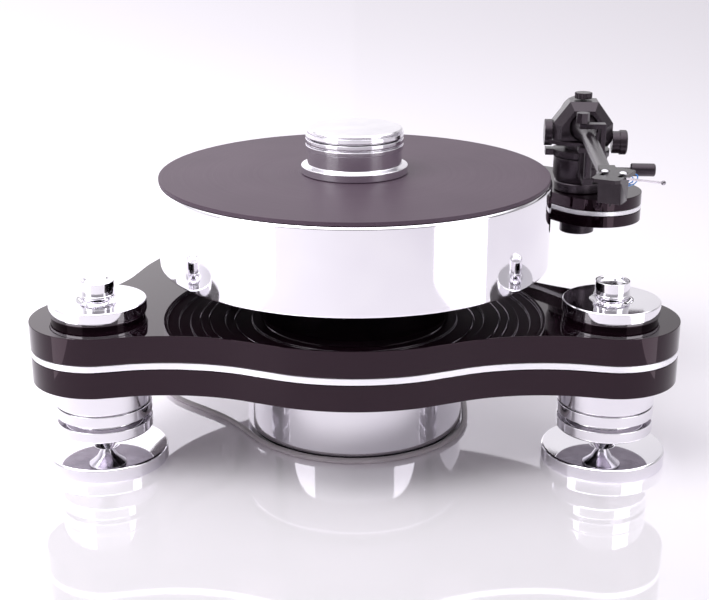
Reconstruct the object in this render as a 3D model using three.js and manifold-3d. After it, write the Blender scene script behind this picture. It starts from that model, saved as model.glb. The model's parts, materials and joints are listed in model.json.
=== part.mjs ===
// A belt-driven turntable: a three-lobed sandwich chassis on spiked feet, a free-standing motor unit
// under it, a heavy platter with a record weight, and a nine-inch tonearm on a swinging arm board.
// Millimetres, +Z up. The origin is on the platter's axis, at the height of the table.

import * as THREE from 'three';
import { mergeVertices } from 'three/addons/utils/BufferGeometryUtils.js';
import Module from 'manifold-3d';

// Clearances
const seatGap = 0.3;
const runGap = 1.2;
const cutOverrun = 2;

// Smoothness: the number of flats round each kind of turned piece, and the chord error of outlines
const platterSteps = 44;
const drumSteps = 28;
const turnedSteps = 20;
const knobSteps = 14;
const pinSteps = 8;
const chordErrorShare = 0.005;
const leadSteps = 62;
const tailSteps = 8;

// Chassis: three lobes joined by arcs
const chassisBottom = 68;
const plateThickness = 20;
const coreThickness = 5;
const lobeRadius = 50;
const frontLobeX = 187;
const frontLobeY = -77;
const rearLobeStandoff = 52;
const frontBulgeRadius = 150;
const frontFilletRadius = 155;
const sideBulgeRadius = 177;
const sideFilletRadius = 100;
const rightScoopRadius = 240;

// Feet
const padRadius = 45.8;
const padHeight = 10.6;
const padRim = 4;
const dishDepth = 6.1;
const columnRadius = 35.5;
const columnBottom = 26.3;
const columnChamfer = 1;
const baseRingHeight = 8.6;
const wideGroove = 4;
const wideGrooveDepth = 7;
const middleRingHeight = 8.4;
const thinGroove = 1;
const thinGrooveDepth = 3;
const rodRadius = 5;
const rodClearance = 0.5;
const spikeRadius = 14;
const spikeTipRadius = 1.2;
const spikeWaistShares = [[0.62, 0.28], [0.3, 0.55]];

// Discs and levelling knobs on the lobes
const spacerRadius = 34;
const spacerHeight = 3;
const discRadius = 35.5;
const discHeight = 10.2;
const discEdge = 0.6;
const discBand = 2.2;
const discDish = 3.8;
const discRecessRadius = 15.4;
const knobNeckRadius = 8.5;
const knobNeckTopRadius = 11.2;
const knobNeckHeight = 6.8;
const knobCollarRadius = 13.2;
const knobCollarHeight = 1.5;
const knobCapRadius = 12.5;
const knobCapHeight = 9.5;
const knobRim = 1.3;
const knobDish = 2;
const rodInKnob = 8;

// Main bearing
const bearingBodyRadius = 25;
const bearingFlangeRadius = 30;
const bearingFlangeHeight = 5;
const bearingFloor = 6;
const thrustBallRadius = 4;
const shaftRadius = 8;
const carrierRadius = 28;
const carrierHeight = 6.7;
const hubJournalRadius = 12;
const hubJournalHeight = 24;
const centrePinRadius = 3.55;
const centrePinHeight = 16;

// Inner platter with its belt pulley and skirt
const innerPlatterRadius = 75;
const innerPlatterThickness = 7.5;
const skirtWall = 3.5;
const skirtClearance = 1.5;
const pulleyRadius = 38;
const pulleyWall = 5.6;
const pulleyClearance = 2;

// Platter and mat
const platterRadius = 150;
const platterHeight = 63.3;
const platterLip = 136.6;
const platterEdge = 1.5;
const platterBossRadius = 60;
const lipWidth = 3;
const undersideRise = 2.4;
const ringGrooveDepth = 2;
const ringGrooveShares = [[0.54, 0.68], [0.86, 0.92]];
const matInset = 1.3;
const matThickness = 2.9;

// Record weight
const weightFlangeRadius = 40.7;
const weightFlangeHeight = 5.7;
const weightBodyRadius = 36;
const weightBevel = 1.4;
const weightRingRadius = 37.2;
const weightRingStart = 18.3;
const weightRingHeight = 3.5;
const weightGroove = 1.2;
const weightGrooveRadius = 35;
const weightPlateRadius = 36.4;
const weightPlateHeight = 1.6;
const weightPlateEdge = 1;
const weightBoreRadius = 3.9;
const weightBoreDepth = 20;

// Motor unit, standing free on the table under the chassis
const motorHousingTop = 60;
const motorWall = 4;
const motorFloor = 5;
const motorPadRadius = 83;
const motorPadHeight = 3.7;
const motorLidThickness = 3.7;
const motorClearance = 3;
const motorRadius = 23;
const motorHeight = 42;
const motorShaftRadius = 2.5;
const motorPulleyRadius = 9.5;
const pulleySpacing = 8.5;
const motorPulleyFlange = 1.5;
const shaftHoleRadius = 14;
const beltThickness = 1.1;
const beltWidth = 5;

// Free lead: its gland, route, coil and connector
const leadRadius = 2.25;
const leadSides = 8;
const glandRadius = 5;
const glandTipRadius = 3.6;
const glandLength = 14;
const glandHeight = 16;
const coilX = -86;
const coilY = 222;
const coilOuterRadius = 30;
const coilPitch = 5.3;
const coilLayerTurns = 2;
const coilSides = 6;
const coilStepsPerTurn = 24;
const plugRadius = 5;
const plugLength = 26;
const plugNoseRadius = 3.4;
const plugNoseLength = 9;

// Arm board
const boardEndAside = 56;
const boardEndY = 107;
const boardEndRadius = 38;
const boardRearRadius = 40;
const boardClearance = 15;
const boardWidth = 78;
const boardBottom = 139;
const boardPlate = 10;
const boardCore = 4;
const hingeRadius = 11.7;
const postRadius = 33;

// Tonearm base and pillar
const pivotInset = 15;
const pivotY = 108;
const parkAngleDegrees = 4.5;
const stemRadius = 9.7;
const boardNutRadius = 14.5;
const boardNutHeight = 12;
const baseCollarRadius = 21;
const baseCollarHeight = 8.2;
const pillarRadius = 22.5;
const pillarFootRadius = 20.5;
const pillarHeight = 21;
const yawSpigotRadius = 7.7;
const yawSpigotDepth = 17;

// Platform with its lift block, bracket and rest post
const platformThickness = 5.4;
const platformRadius = 24;
const wingReach = 30;
const wingWidth = 11;
const liftBlockWidth = 10;
const liftBlockLength = 13;
const liftBlockReach = 40;
const liftBlockHeight = 24;
const restReach = 64;
const restPostRadius = 3;
const restArmHeight = 5;
const restArmWidth = 8;
const restCradle = 4;
const restSpine = 4;
const restLength = 9;
const restGapBelow = 1;
const restGapAbove = 2.4;
const restGapSide = 2.6;

// Lift bar and lift lever
const liftBarRadius = 40;
const liftBarWidth = 3.4;
const liftBarHeight = 2.6;
const liftPinRadius = 1.8;
const liftTravel = 1.6;
const liftArcStartDegrees = -10;
const liftArcEndDegrees = 46;
const leverRadius = 1.8;
const leverRise = 7;
const leverReach = 37;
const leverHandleRadius = 5.3;
const leverHandleLength = 20;

// Faceted bearing housing
const housingHalfWidth = 24.5;
const housingHalfDepth = 19;
const housingRise = 3.5;
const housingFloor = 5.6;
const shoulderRise = 2;
const housingCrown = 7.6;
const housingBevel = 6.2;
const housingBevelDepth = 9;
const housingTopInset = 13;
const housingFootInset = 3.5;
const housingFootHeight = 5;
const yawCollarRadius = 14;
const pitchDrop = 8;
const pitchAxleRadius = 2;
const bearingCapRadius = 11;
const bearingCapThickness = 6.5;
const sideWheelRadius = 10.3;
const sideWheelThickness = 12.5;
const sideWheelDrop = 15;
const sideWheelForward = 3.5;
const topKnobRadius = 7.3;
const topKnobHeight = 5;
const topKnobStemRadius = 2.6;
const topKnobStemHeight = 0.8;
const topKnobBack = 2;
const gripDepth = 0.5;

// Arm wand, counterweight
const wandRootRadius = 10.6;
const wandBoreClearance = 1.3;
const wandTubeRadius = 5.8;
const wandTaperEnd = 60;
const wandFrontRadius = 5.2;
const wandLength = 198;
const stubRadius = 5;
const stubLength = 62;
const counterweightRadius = 15;
const counterweightLength = 22;
const counterweightStart = 28;

// Headshell, cartridge
const headshellThickness = 2.5;
const headshellRise = 8.5;
const headshellWidth = 20;
const headshellLength = 40;
const headshellAside = 1.5;
const headshellOffsetDegrees = 24;
const headshellNose = 3;
const socketLength = 14;
const socketRadius = 7;
const neckReach = 2;
const slotWidth = 2.8;
const slotLength = 16;
const screwSpacing = 12.7;
const deckLap = 1;
const headScrewRadius = 2.6;
const headScrewHeight = 2;
const screwShankRadius = 1.1;
const cartridgeWidth = 16;
const cartridgeLength = 19;
const cartridgeHeight = 16.5;
const cartridgeTaper = 2.5;
const stylusRadius = 0.7;
const stylusHeight = 2.4;
const fingerRadius = 0.8;
const fingerLength = 25;
const fingerForward = 4.5;
const fingerBallRadius = 1.7;
const wireRadius = 0.5;
const wireSides = 4;
const wireBulge = 7;
const wireSpacing = 2.2;
const wireDrop = 3;
const blockWidth = 2.4;
const blockLength = 6;
const blockHeight = 9;

const wasm = await Module();
wasm.setup();

/** A black, polished or turned finish. */
function finish(name, color, roughness, metalness) {
  return new THREE.MeshStandardMaterial({ name, color, roughness, metalness });
}

const blackAcrylic = finish('black_acrylic', 0x1c151b, 0.06, 0);
const polishedAluminium = finish('polished_aluminium', 0xe6e4ea, 0.08, 1);
const satinAluminium = finish('satin_aluminium', 0xcfcdd4, 0.35, 1);
const brushedGrey = finish('brushed_grey', 0x77727c, 0.35, 1);
const blackAnodised = finish('black_anodised', 0x2b262c, 0.4, 0.6);
const matCompound = finish('mat_compound', 0x5c525c, 0.7, 0);
const blackRubber = finish('black_rubber', 0x1d1a1e, 0.8, 0);
const steel = finish('steel', 0xb9b8bd, 0.2, 1);
const brass = finish('brass', 0xb79a55, 0.25, 1);
const wireBlue = finish('wire_insulation', 0x4a86c8, 0.4, 0);

/** The closed solid of revolution of a profile of [radius, height] points, turned about +Z. */
function turned(profile, steps) {
  const points = profile.map(([r, z]) => new THREE.Vector2(r, z));
  return new THREE.LatheGeometry(points, steps).rotateX(Math.PI / 2);
}

/** A profile that closes on itself, for a turned piece with a bore. */
function closed(profile) {
  return [...profile, profile[0]];
}

/** Points round a circle, counter-clockwise. */
function circlePoints(x, y, radius, steps) {
  return Array.from({ length: steps }, (_, i) => {
    const a = (2 * Math.PI * i) / steps;
    return new THREE.Vector2(x + radius * Math.cos(a), y + radius * Math.sin(a));
  });
}

/** An upright plate of an outline with holes, from bottom to bottom + height. */
function plate(outline, holes, bottom, height) {
  const shape = new THREE.Shape(outline);
  shape.holes = holes.map((points) => new THREE.Path(points));
  const geometry = new THREE.ExtrudeGeometry(shape, { depth: height, bevelEnabled: false });
  return geometry.translate(0, 0, bottom);
}

/** A profile of [y, z] points, extruded along x from -width / 2 to width / 2. */
function sidePlate(profile, width) {
  const shape = new THREE.Shape(profile.map(([y, z]) => new THREE.Vector2(y, z)));
  const geometry = new THREE.ExtrudeGeometry(shape, { depth: width, bevelEnabled: false });
  geometry.translate(0, 0, -width / 2);
  return geometry.rotateX(Math.PI / 2).rotateZ(Math.PI / 2);
}

/** A profile of [x, z] points, extruded along y from front to front + length. */
function frontPlate(profile, holes, front, length) {
  const shape = new THREE.Shape(profile.map(([x, z]) => new THREE.Vector2(x, z)));
  shape.holes = holes.map((points) => new THREE.Path(points));
  const geometry = new THREE.ExtrudeGeometry(shape, { depth: length, bevelEnabled: false });
  return geometry.rotateX(Math.PI / 2).translate(0, front + length, 0);
}

/** A closed triangle mesh as a solid for cutting and joining. */
function solid(geometry) {
  const bare = geometry.clone();
  bare.deleteAttribute('normal');
  bare.deleteAttribute('uv');
  const merged = mergeVertices(bare);
  const vertProperties = new Float32Array(merged.attributes.position.array);
  const triVerts = new Uint32Array(merged.index.array);
  return new wasm.Manifold(new wasm.Mesh({ numProp: 3, vertProperties, triVerts }));
}

/** The triangle mesh of a solid. */
function geometryOf(body) {
  const mesh = body.getMesh();
  const geometry = new THREE.BufferGeometry();
  geometry.setAttribute('position', new THREE.BufferAttribute(mesh.vertProperties, 3));
  geometry.setIndex(new THREE.BufferAttribute(mesh.triVerts, 1));
  geometry.computeVertexNormals();
  return geometry;
}

/** The first geometry with the others joined on. */
function joined(first, ...others) {
  return geometryOf(others.reduce((body, other) => body.add(solid(other)), solid(first)));
}

/** The first geometry with the others cut away. */
function cut(first, ...others) {
  return geometryOf(others.reduce((body, other) => body.subtract(solid(other)), solid(first)));
}

/** Points of an arc from one angle to another, without the last one. */
function arcPoints(x, y, radius, from, to) {
  const step = 2 * Math.acos(1 - chordErrorShare * Math.sqrt(lobeRadius / radius));
  const count = Math.max(2, Math.ceil(Math.abs(to - from) / step));
  return Array.from({ length: count }, (_, i) => {
    const a = from + ((to - from) * i) / count;
    return new THREE.Vector2(x + radius * Math.cos(a), y + radius * Math.sin(a));
  });
}

/** The centre of the arc that is tangent to two circles, to the right of the way from a to b. */
function tangentCentre(a, b, radius) {
  const reachA = a.radius + radius;
  const reachB = b.radius + radius;
  const way = new THREE.Vector2(b.x - a.x, b.y - a.y);
  const distance = way.length();
  way.normalize();
  const along = (reachA ** 2 - reachB ** 2 + distance ** 2) / (2 * distance);
  const aside = Math.sign(radius) * Math.sqrt(reachA ** 2 - along ** 2);
  return { x: a.x + way.x * along + way.y * aside, y: a.y + way.y * along - way.x * aside };
}

/** The angle at which b is seen from a. */
function angleTo(a, b) {
  return Math.atan2(b.y - a.y, b.x - a.x);
}

/** The angle `to`, moved by whole turns so that it lies past `from` in the given sense. */
function unwrapped(from, to, sense) {
  const turn = (((to - from) * sense) % (2 * Math.PI) + 2 * Math.PI) % (2 * Math.PI);
  return from + sense * turn;
}

/**
 * A counter-clockwise outline of circles joined by tangent arcs. Arc i joins circle i to the next
 * one: a positive radius is a hollow fillet, and a negative one an arc that goes round both circles.
 */
function tangentOutline(circles, arcs) {
  const count = circles.length;
  const next = (i) => circles[(i + 1) % count];
  const centres = arcs.map((radius, i) => tangentCentre(circles[i], next(i), radius));
  const touch = (circle, i) =>
    arcs[i] > 0 ? angleTo(circle, centres[i]) : angleTo(centres[i], circle);
  return circles.flatMap((circle, i) => {
    const before = (i + count - 1) % count;
    const from = touch(circle, before);
    const to = unwrapped(from, touch(circle, i), 1);
    const lobe = arcPoints(circle.x, circle.y, circle.radius, from, to);
    const centre = centres[i];
    const sense = -Math.sign(arcs[i]);
    const start = angleTo(centre, circle);
    const end = unwrapped(start, angleTo(centre, next(i)), sense);
    return [...lobe, ...arcPoints(centre.x, centre.y, Math.abs(arcs[i]), start, end)];
  });
}

/** A tube along a curve, as a closed solid with flat ends. */
function tube(curve, radius, sides, steps) {
  const section = new THREE.Shape(circlePoints(0, 0, radius, sides));
  return new THREE.ExtrudeGeometry(section, { steps, extrudePath: curve, bevelEnabled: false });
}

/** A knob's knurled outline: a circle whose every second point is pulled in. */
function knurlPoints(radius, depth, steps) {
  const points = circlePoints(0, 0, radius, 2 * steps);
  points.forEach((p, i) => p.multiplyScalar(i % 2 ? (radius - depth) / radius : 1));
  return points;
}

// Places that follow the platter's rim
const rearLobeY = platterRadius + rearLobeStandoff;
const boardInnerRadius = platterRadius + boardClearance;
const boardOuterRadius = boardInnerRadius + boardWidth;
const boardEndX = platterRadius + boardEndAside;
const pivotX = boardEndX - pivotInset;
const matRadius = platterRadius - matInset;

// The motor stands beside the pulley that it drives, and its housing goes round it
const motorOffset = pulleyRadius + pulleySpacing + motorPulleyRadius;
const motorHousingRadius = motorOffset + motorRadius + motorClearance + motorWall;

// The facets of the bearing housing
const housingTopHalfWidth = housingHalfWidth - housingTopInset;
const housingFootHalfWidth = housingHalfWidth - housingFootInset;

// Levels that the pieces share
const coreBottom = chassisBottom + plateThickness;
const coreTop = coreBottom + coreThickness;
const chassisTop = coreTop + plateThickness;
const rearPostTop = boardBottom;
const boardTop = boardBottom + 2 * boardPlate + boardCore;
const carrierTop = platterLip - undersideRise - innerPlatterThickness - runGap;
const innerPlatterBottom = carrierTop + seatGap;
const innerPlatterTop = innerPlatterBottom + innerPlatterThickness;
const platterBottom = innerPlatterTop + seatGap;
const platterTop = platterLip + platterHeight;
const matTop = platterTop + seatGap + matThickness;
const lobes = [
  { name: 'right', x: frontLobeX, y: frontLobeY, top: chassisTop + spacerHeight },
  { name: 'left', x: -frontLobeX, y: frontLobeY, top: chassisTop + spacerHeight },
  { name: 'rear', x: 0, y: rearLobeY, top: boardTop + seatGap },
];

/** The outline of the chassis plates. */
function chassisOutline() {
  const [right, left, rear] = lobes.map(({ x, y }) => ({ x, y, radius: lobeRadius }));
  const front = { x: 0, y: 0, radius: frontBulgeRadius };
  const side = { x: 0, y: 0, radius: sideBulgeRadius };
  const arcs = [frontFilletRadius, rightScoopRadius, sideFilletRadius, sideFilletRadius,
    frontFilletRadius];
  return tangentOutline([front, right, rear, side, left], arcs);
}

/** The holes of a chassis plate: the bearing, the motor shaft and the three levelling rods. */
function chassisHoles() {
  const rods = lobes.map(({ x, y }) => circlePoints(x, y, rodRadius + rodClearance, pinSteps));
  const bearing = circlePoints(0, 0, bearingBodyRadius + seatGap, turnedSteps);
  return [bearing, circlePoints(0, motorOffset, shaftHoleRadius, knobSteps), ...rods];
}

/** The upper chassis plate with the two black seats under the front discs. */
function upperPlate() {
  const seat = ({ x, y }) => plate(circlePoints(x, y, spacerRadius, drumSteps),
    [circlePoints(x, y, rodRadius + rodClearance, pinSteps)], coreTop + plateThickness / 2,
    plateThickness / 2 + spacerHeight);
  return joined(chassisPlate(coreTop, chassisTop), ...lobes.slice(0, 2).map(seat));
}

/** A chassis plate between two heights. */
function chassisPlate(bottom, top) {
  return plate(chassisOutline(), chassisHoles(), bottom, top - bottom);
}

/** The dished pad that a spike stands in. */
function footPad() {
  const inner = padRadius - padRim;
  const centre = padHeight - dishDepth;
  return turned([[0, 0], [padRadius, 0], [padRadius, padHeight - columnChamfer],
    [padRadius - columnChamfer, padHeight], [inner, padHeight],
    [inner / 2, centre + dishDepth / 4], [0, centre]], turnedSteps);
}

/** The turned column under a lobe, with its two grooves. */
function footColumn() {
  const bore = rodRadius + rodClearance;
  const wideBottom = columnBottom + baseRingHeight;
  const wideTop = wideBottom + wideGroove;
  const thinBottom = wideTop + middleRingHeight;
  const thinTop = thinBottom + thinGroove;
  const top = chassisBottom - seatGap;
  return turned(closed([[bore, columnBottom], [columnRadius - columnChamfer, columnBottom],
    [columnRadius, columnBottom + columnChamfer], [columnRadius, wideBottom],
    [columnRadius - wideGrooveDepth, wideBottom], [columnRadius - wideGrooveDepth, wideTop],
    [columnRadius, wideTop], [columnRadius, thinBottom],
    [columnRadius - thinGrooveDepth, thinBottom], [columnRadius - thinGrooveDepth, thinTop],
    [columnRadius, thinTop], [columnRadius, top], [bore, top]]), turnedSteps);
}

/** The levelling spindle of a lobe: the spike below the column and the rod up to the knob. */
function levelSpindle(lobe) {
  const tip = padHeight - dishDepth + seatGap;
  const shoulder = columnBottom - seatGap;
  const rodTop = lobe.top + discHeight - discDish + seatGap + rodInKnob;
  const waist = spikeWaistShares.map(([down, across]) =>
    [spikeRadius * across, shoulder - (shoulder - tip) * down]);
  return turned([[0, tip], [spikeTipRadius, tip], ...waist, [spikeRadius, shoulder - columnChamfer],
    [spikeRadius, shoulder], [rodRadius, shoulder], [rodRadius, rodTop], [0, rodTop]], knobSteps);
}

/** The knob that turns a levelling spindle. */
function levelKnob(lobe) {
  const bottom = lobe.top + discHeight - discDish + seatGap;
  const bore = rodRadius + seatGap;
  const boreTop = bottom + rodInKnob + seatGap;
  const collar = bottom + knobNeckHeight;
  const cap = collar + knobCollarHeight;
  const top = cap + knobCapHeight;
  return turned([[0, boreTop], [bore, boreTop], [bore, bottom], [knobNeckRadius, bottom],
    [knobNeckTopRadius, collar], [knobCollarRadius, collar], [knobCollarRadius, cap],
    [knobCapRadius, cap], [knobCapRadius, top], [knobCapRadius - knobRim, top],
    [knobCapRadius - 2 * knobRim, top - knobDish], [0, top - knobDish]], knobSteps);
}

/** The polished disc on top of a lobe, dished round the knob and stepped in at its foot. */
function topDisc(lobe) {
  const bore = rodRadius + rodClearance;
  const top = lobe.top + discHeight;
  const bottom = lobe.top + seatGap;
  return turned(closed([[bore, bottom], [discRadius - discEdge, bottom],
    [discRadius - discEdge, bottom + discBand], [discRadius, bottom + discBand],
    [discRadius, top - discEdge], [discRadius - discEdge, top], [discRecessRadius, top],
    [discRecessRadius - discDish, top - discDish], [bore, top - discDish]]), turnedSteps);
}

/** The post on the rear lobe: it carries the arm board, whose hinge journal stands on it. */
function armPost() {
  const bore = rodRadius + rodClearance;
  const bottom = chassisTop + seatGap;
  const shoulder = rearPostTop - seatGap;
  const top = boardTop - seatGap;
  return turned(closed([[bore, bottom], [postRadius, bottom], [postRadius, shoulder],
    [hingeRadius, shoulder], [hingeRadius, top], [bore, top]]), turnedSteps);
}

/** The flanged housing of the main bearing, bored from above. */
function bearingHousing() {
  const bottom = chassisBottom + seatGap;
  const flange = chassisTop + seatGap;
  const top = flange + bearingFlangeHeight;
  const bore = shaftRadius + seatGap;
  return turned([[0, bottom], [bearingBodyRadius, bottom], [bearingBodyRadius, flange],
    [bearingFlangeRadius, flange], [bearingFlangeRadius, top], [bore, top],
    [bore, bottom + bearingFloor], [0, bottom + bearingFloor]], turnedSteps);
}

/** The spindle: its captive ball, bearing shaft, carrier flange, hub journal and record pin. */
function bearingSpindle() {
  const bottom = chassisBottom + bearingFloor + 2 * seatGap;
  const shaftBottom = bottom + thrustBallRadius;
  const ball = [0, 1, 2].map((i) => [thrustBallRadius * Math.sin((i * Math.PI) / 6),
    shaftBottom - thrustBallRadius * Math.cos((i * Math.PI) / 6)]);
  const carrierBottom = carrierTop - carrierHeight;
  const journalTop = carrierTop + hubJournalHeight;
  const top = matTop + centrePinHeight;
  return turned([...ball, [thrustBallRadius, shaftBottom], [shaftRadius, shaftBottom],
    [shaftRadius, carrierBottom], [carrierRadius, carrierBottom], [carrierRadius, carrierTop],
    [hubJournalRadius, carrierTop], [hubJournalRadius, journalTop], [centrePinRadius, journalTop],
    [centrePinRadius, top - centrePinRadius], [centrePinRadius / 2, top - seatGap], [0, top]],
  knobSteps);
}

/** The inner platter: a disc with the belt pulley inside and a skirt that hides the belt. */
function innerPlatter() {
  const bore = hubJournalRadius + seatGap;
  const skirtBottom = chassisTop + skirtClearance;
  const pulleyBottom = chassisTop + pulleyClearance;
  const skirtInner = innerPlatterRadius - skirtWall;
  const pulleyInner = pulleyRadius - pulleyWall;
  return turned(closed([[bore, innerPlatterBottom], [pulleyInner, innerPlatterBottom],
    [pulleyInner, pulleyBottom], [pulleyRadius, pulleyBottom], [pulleyRadius, innerPlatterBottom],
    [skirtInner, innerPlatterBottom], [skirtInner, skirtBottom], [innerPlatterRadius, skirtBottom],
    [innerPlatterRadius, innerPlatterTop], [bore, innerPlatterTop]]), drumSteps);
}

/** The heavy platter, with turned ring grooves in its underside. */
function platter() {
  const bore = hubJournalRadius + seatGap;
  const pinBore = centrePinRadius + seatGap;
  const boreTop = carrierTop + hubJournalHeight + seatGap;
  const underside = platterLip + undersideRise;
  const grooves = ringGrooveShares.flatMap(([inner, outer]) => {
    const [a, b] = [inner * platterRadius, outer * platterRadius];
    return [[a, underside], [a, underside + ringGrooveDepth], [b, underside + ringGrooveDepth],
      [b, underside]];
  });
  return turned(closed([[bore, platterBottom], [platterBossRadius, platterBottom],
    [platterBossRadius, underside], ...grooves, [platterRadius - lipWidth, underside],
    [platterRadius - lipWidth, platterLip], [platterRadius, platterLip],
    [platterRadius, platterTop - platterEdge], [platterRadius - platterEdge, platterTop],
    [pinBore, platterTop], [pinBore, boreTop], [bore, boreTop]]), platterSteps);
}

/** The mat on the platter. */
function platterMat() {
  const bottom = platterTop + seatGap;
  const bore = centrePinRadius + seatGap;
  return turned(closed([[bore, bottom], [matRadius, bottom], [matRadius, matTop], [bore, matTop]]),
    platterSteps);
}

/** The record weight's body: foot flange, plain waist and two grip rings over a bore for the pin. */
function weightBody() {
  const bottom = matTop + seatGap;
  const ring = bottom + weightRingStart;
  const groove = ring + weightRingHeight;
  const upper = groove + weightGroove;
  const top = upper + weightRingHeight;
  const flange = bottom + weightFlangeHeight;
  return turned([[0, bottom + weightBoreDepth], [weightBoreRadius, bottom + weightBoreDepth],
    [weightBoreRadius, bottom], [weightFlangeRadius, bottom], [weightFlangeRadius, flange],
    [weightBodyRadius, flange + weightBevel], [weightBodyRadius, ring], [weightRingRadius, ring],
    [weightRingRadius, groove], [weightGrooveRadius, groove], [weightGrooveRadius, upper],
    [weightRingRadius, upper], [weightRingRadius, top], [0, top]], drumSteps);
}

/** The record weight's polished cap, on a step that leaves a groove over the upper grip ring. */
function weightCap() {
  const bottom = matTop + 2 * seatGap + weightRingStart + 2 * weightRingHeight + weightGroove;
  const ring = bottom + weightGroove - seatGap;
  const groove = ring + weightRingHeight;
  const rim = groove + weightGroove;
  const top = rim + weightPlateHeight;
  return turned([[0, bottom], [weightGrooveRadius, bottom], [weightGrooveRadius, ring],
    [weightRingRadius, ring], [weightRingRadius, groove], [weightGrooveRadius, groove],
    [weightGrooveRadius, rim], [weightPlateRadius, rim], [weightPlateRadius, top - weightPlateEdge],
    [weightPlateRadius - weightPlateEdge, top],
    [0, top]], drumSteps);
}

/** The motor unit's housing: a turned cup with a thick floor. */
function motorHousing() {
  const bottom = motorPadHeight + seatGap;
  const inner = motorHousingRadius - motorWall;
  return turned([[0, bottom], [motorHousingRadius, bottom], [motorHousingRadius, motorHousingTop],
    [inner, motorHousingTop], [inner, bottom + motorFloor], [0, bottom + motorFloor]], platterSteps);
}

/** The housing with the hole that the lead's gland passes through. */
function glandedMotorHousing() {
  const hole = turned([[0, -cutOverrun], [glandRadius + seatGap, -cutOverrun],
    [glandRadius + seatGap, motorWall + cutOverrun], [0, motorWall + cutOverrun]], knobSteps);
  hole.rotateX(-Math.PI / 2).translate(0, motorHousingRadius - motorWall, glandHeight);
  return cut(motorHousing(), hole);
}

/** The rubber pad that the motor unit stands on. */
function motorPad() {
  return turned([[0, 0], [motorPadRadius, 0], [motorPadRadius, motorPadHeight], [0, motorPadHeight]],
    platterSteps);
}

/** The lid of the motor unit, with the hole for the shaft. */
function motorLid() {
  return plate(circlePoints(0, 0, motorHousingRadius, platterSteps),
    [circlePoints(0, motorOffset, motorShaftRadius + runGap, pinSteps)],
    motorHousingTop + seatGap, motorLidThickness);
}

/** The motor, hung under the lid and bored for its shaft. */
function motorBody() {
  const top = motorHousingTop;
  const bore = motorShaftRadius + seatGap;
  const bottom = top - motorHeight;
  return turned([[0, bottom], [motorRadius, bottom], [motorRadius, top], [bore, top],
    [bore, top - motorHeight / 2], [0, top - motorHeight / 2]], turnedSteps)
    .translate(0, motorOffset, 0);
}

/** The motor's shaft with its flanged pulley. */
function motorPulley() {
  const shaftBottom = motorHousingTop - motorHeight / 2 + seatGap;
  const flangeRadius = motorPulleyRadius + motorPulleyFlange;
  const bottom = chassisTop + pulleyClearance;
  const beltBottom = bottom + motorPulleyFlange;
  const beltTop = beltBottom + beltWidth + 2 * seatGap;
  const top = beltTop + motorPulleyFlange;
  return turned([[0, shaftBottom], [motorShaftRadius, shaftBottom], [motorShaftRadius, bottom],
    [flangeRadius, bottom], [flangeRadius, beltBottom], [motorPulleyRadius, beltBottom],
    [motorPulleyRadius, beltTop], [flangeRadius, beltTop], [flangeRadius, top], [0, top]], knobSteps)
    .translate(0, motorOffset, 0);
}

/** The outline of the belt at a distance outside the two pulleys. */
function beltOutline(distance) {
  const large = { x: 0, y: 0, radius: pulleyRadius + distance };
  const small = { x: 0, y: motorOffset, radius: motorPulleyRadius + distance };
  const lean = Math.asin((large.radius - small.radius) / motorOffset);
  return [...arcPoints(small.x, small.y, small.radius, lean, Math.PI - lean),
    new THREE.Vector2(-small.radius * Math.cos(lean), small.y + small.radius * Math.sin(lean)),
    ...arcPoints(large.x, large.y, large.radius, Math.PI - lean, 2 * Math.PI + lean),
    new THREE.Vector2(large.radius * Math.cos(lean), large.radius * Math.sin(lean))];
}

/** The flat belt round the inner platter's pulley and the motor's. */
function driveBelt() {
  const bottom = chassisTop + pulleyClearance + motorPulleyFlange + seatGap;
  return plate(beltOutline(seatGap + beltThickness), [beltOutline(seatGap)], bottom, beltWidth);
}

/** The tapered gland that the lead leaves the motor unit through. */
function leadGland() {
  const inside = motorWall + cutOverrun;
  return turned([[0, 0], [glandRadius, 0], [glandRadius, inside + motorWall],
    [glandTipRadius, inside + glandLength], [0, inside + glandLength]], knobSteps)
    .rotateX(-Math.PI / 2).translate(0, motorHousingRadius - inside, glandHeight);
}

const leadLow = leadRadius + seatGap / 6;
const leadStart = motorHousingRadius + glandLength + seatGap;

/** The lead's route from the gland, round the motor unit and away to the coil, chosen by hand. */
const leadRoute = [
  [0, leadStart, glandHeight], [0, leadStart + 2 * leadRadius, glandHeight],
  [2.5, 112, 14.8], [9, 121, 11.6], [20, 128, 7.2], [34, 129.5, 3.9], [49, 125, leadLow],
  [63, 115, leadLow], [75, 101, leadLow], [83, 83, leadLow], [88, 63, leadLow], [90.5, 42, leadLow],
  [90.5, 20, leadLow], [89.5, 0, leadLow], [87, -20, leadLow], [80.5, -39, leadLow],
  [69.5, -56.5, leadLow], [55, -70.5, leadLow], [38, -81, leadLow], [19.5, -87.3, leadLow],
  [0, -89.4, leadLow], [-19.5, -87.3, leadLow], [-38, -81, leadLow], [-55, -70.5, leadLow],
  [-69.5, -57, leadLow], [-81, -41, leadLow], [-92, -24, leadLow], [-106, -7, leadLow],
  [-122, 8, leadLow], [-138, 22, leadLow], [-152, 38, leadLow], [-161, 57, leadLow],
  [-164, 79, leadLow], [-160, 101, leadLow], [-149, 121, leadLow], [-134, 138, leadLow],
  [-121, 155, leadLow], [-115, 175, leadLow], [-115.6, 196, leadLow],
  [coilX - coilOuterRadius, coilY - 4 * leadRadius - seatGap, leadLow],
  [coilX - coilOuterRadius, coilY - 2 * leadRadius - seatGap, leadLow],
];

/** A smooth curve through points. */
function smooth(points) {
  const vectors = points.map(([x, y, z]) => new THREE.Vector3(x, y, z));
  return new THREE.CatmullRomCurve3(vectors, false, 'centripetal');
}

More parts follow.
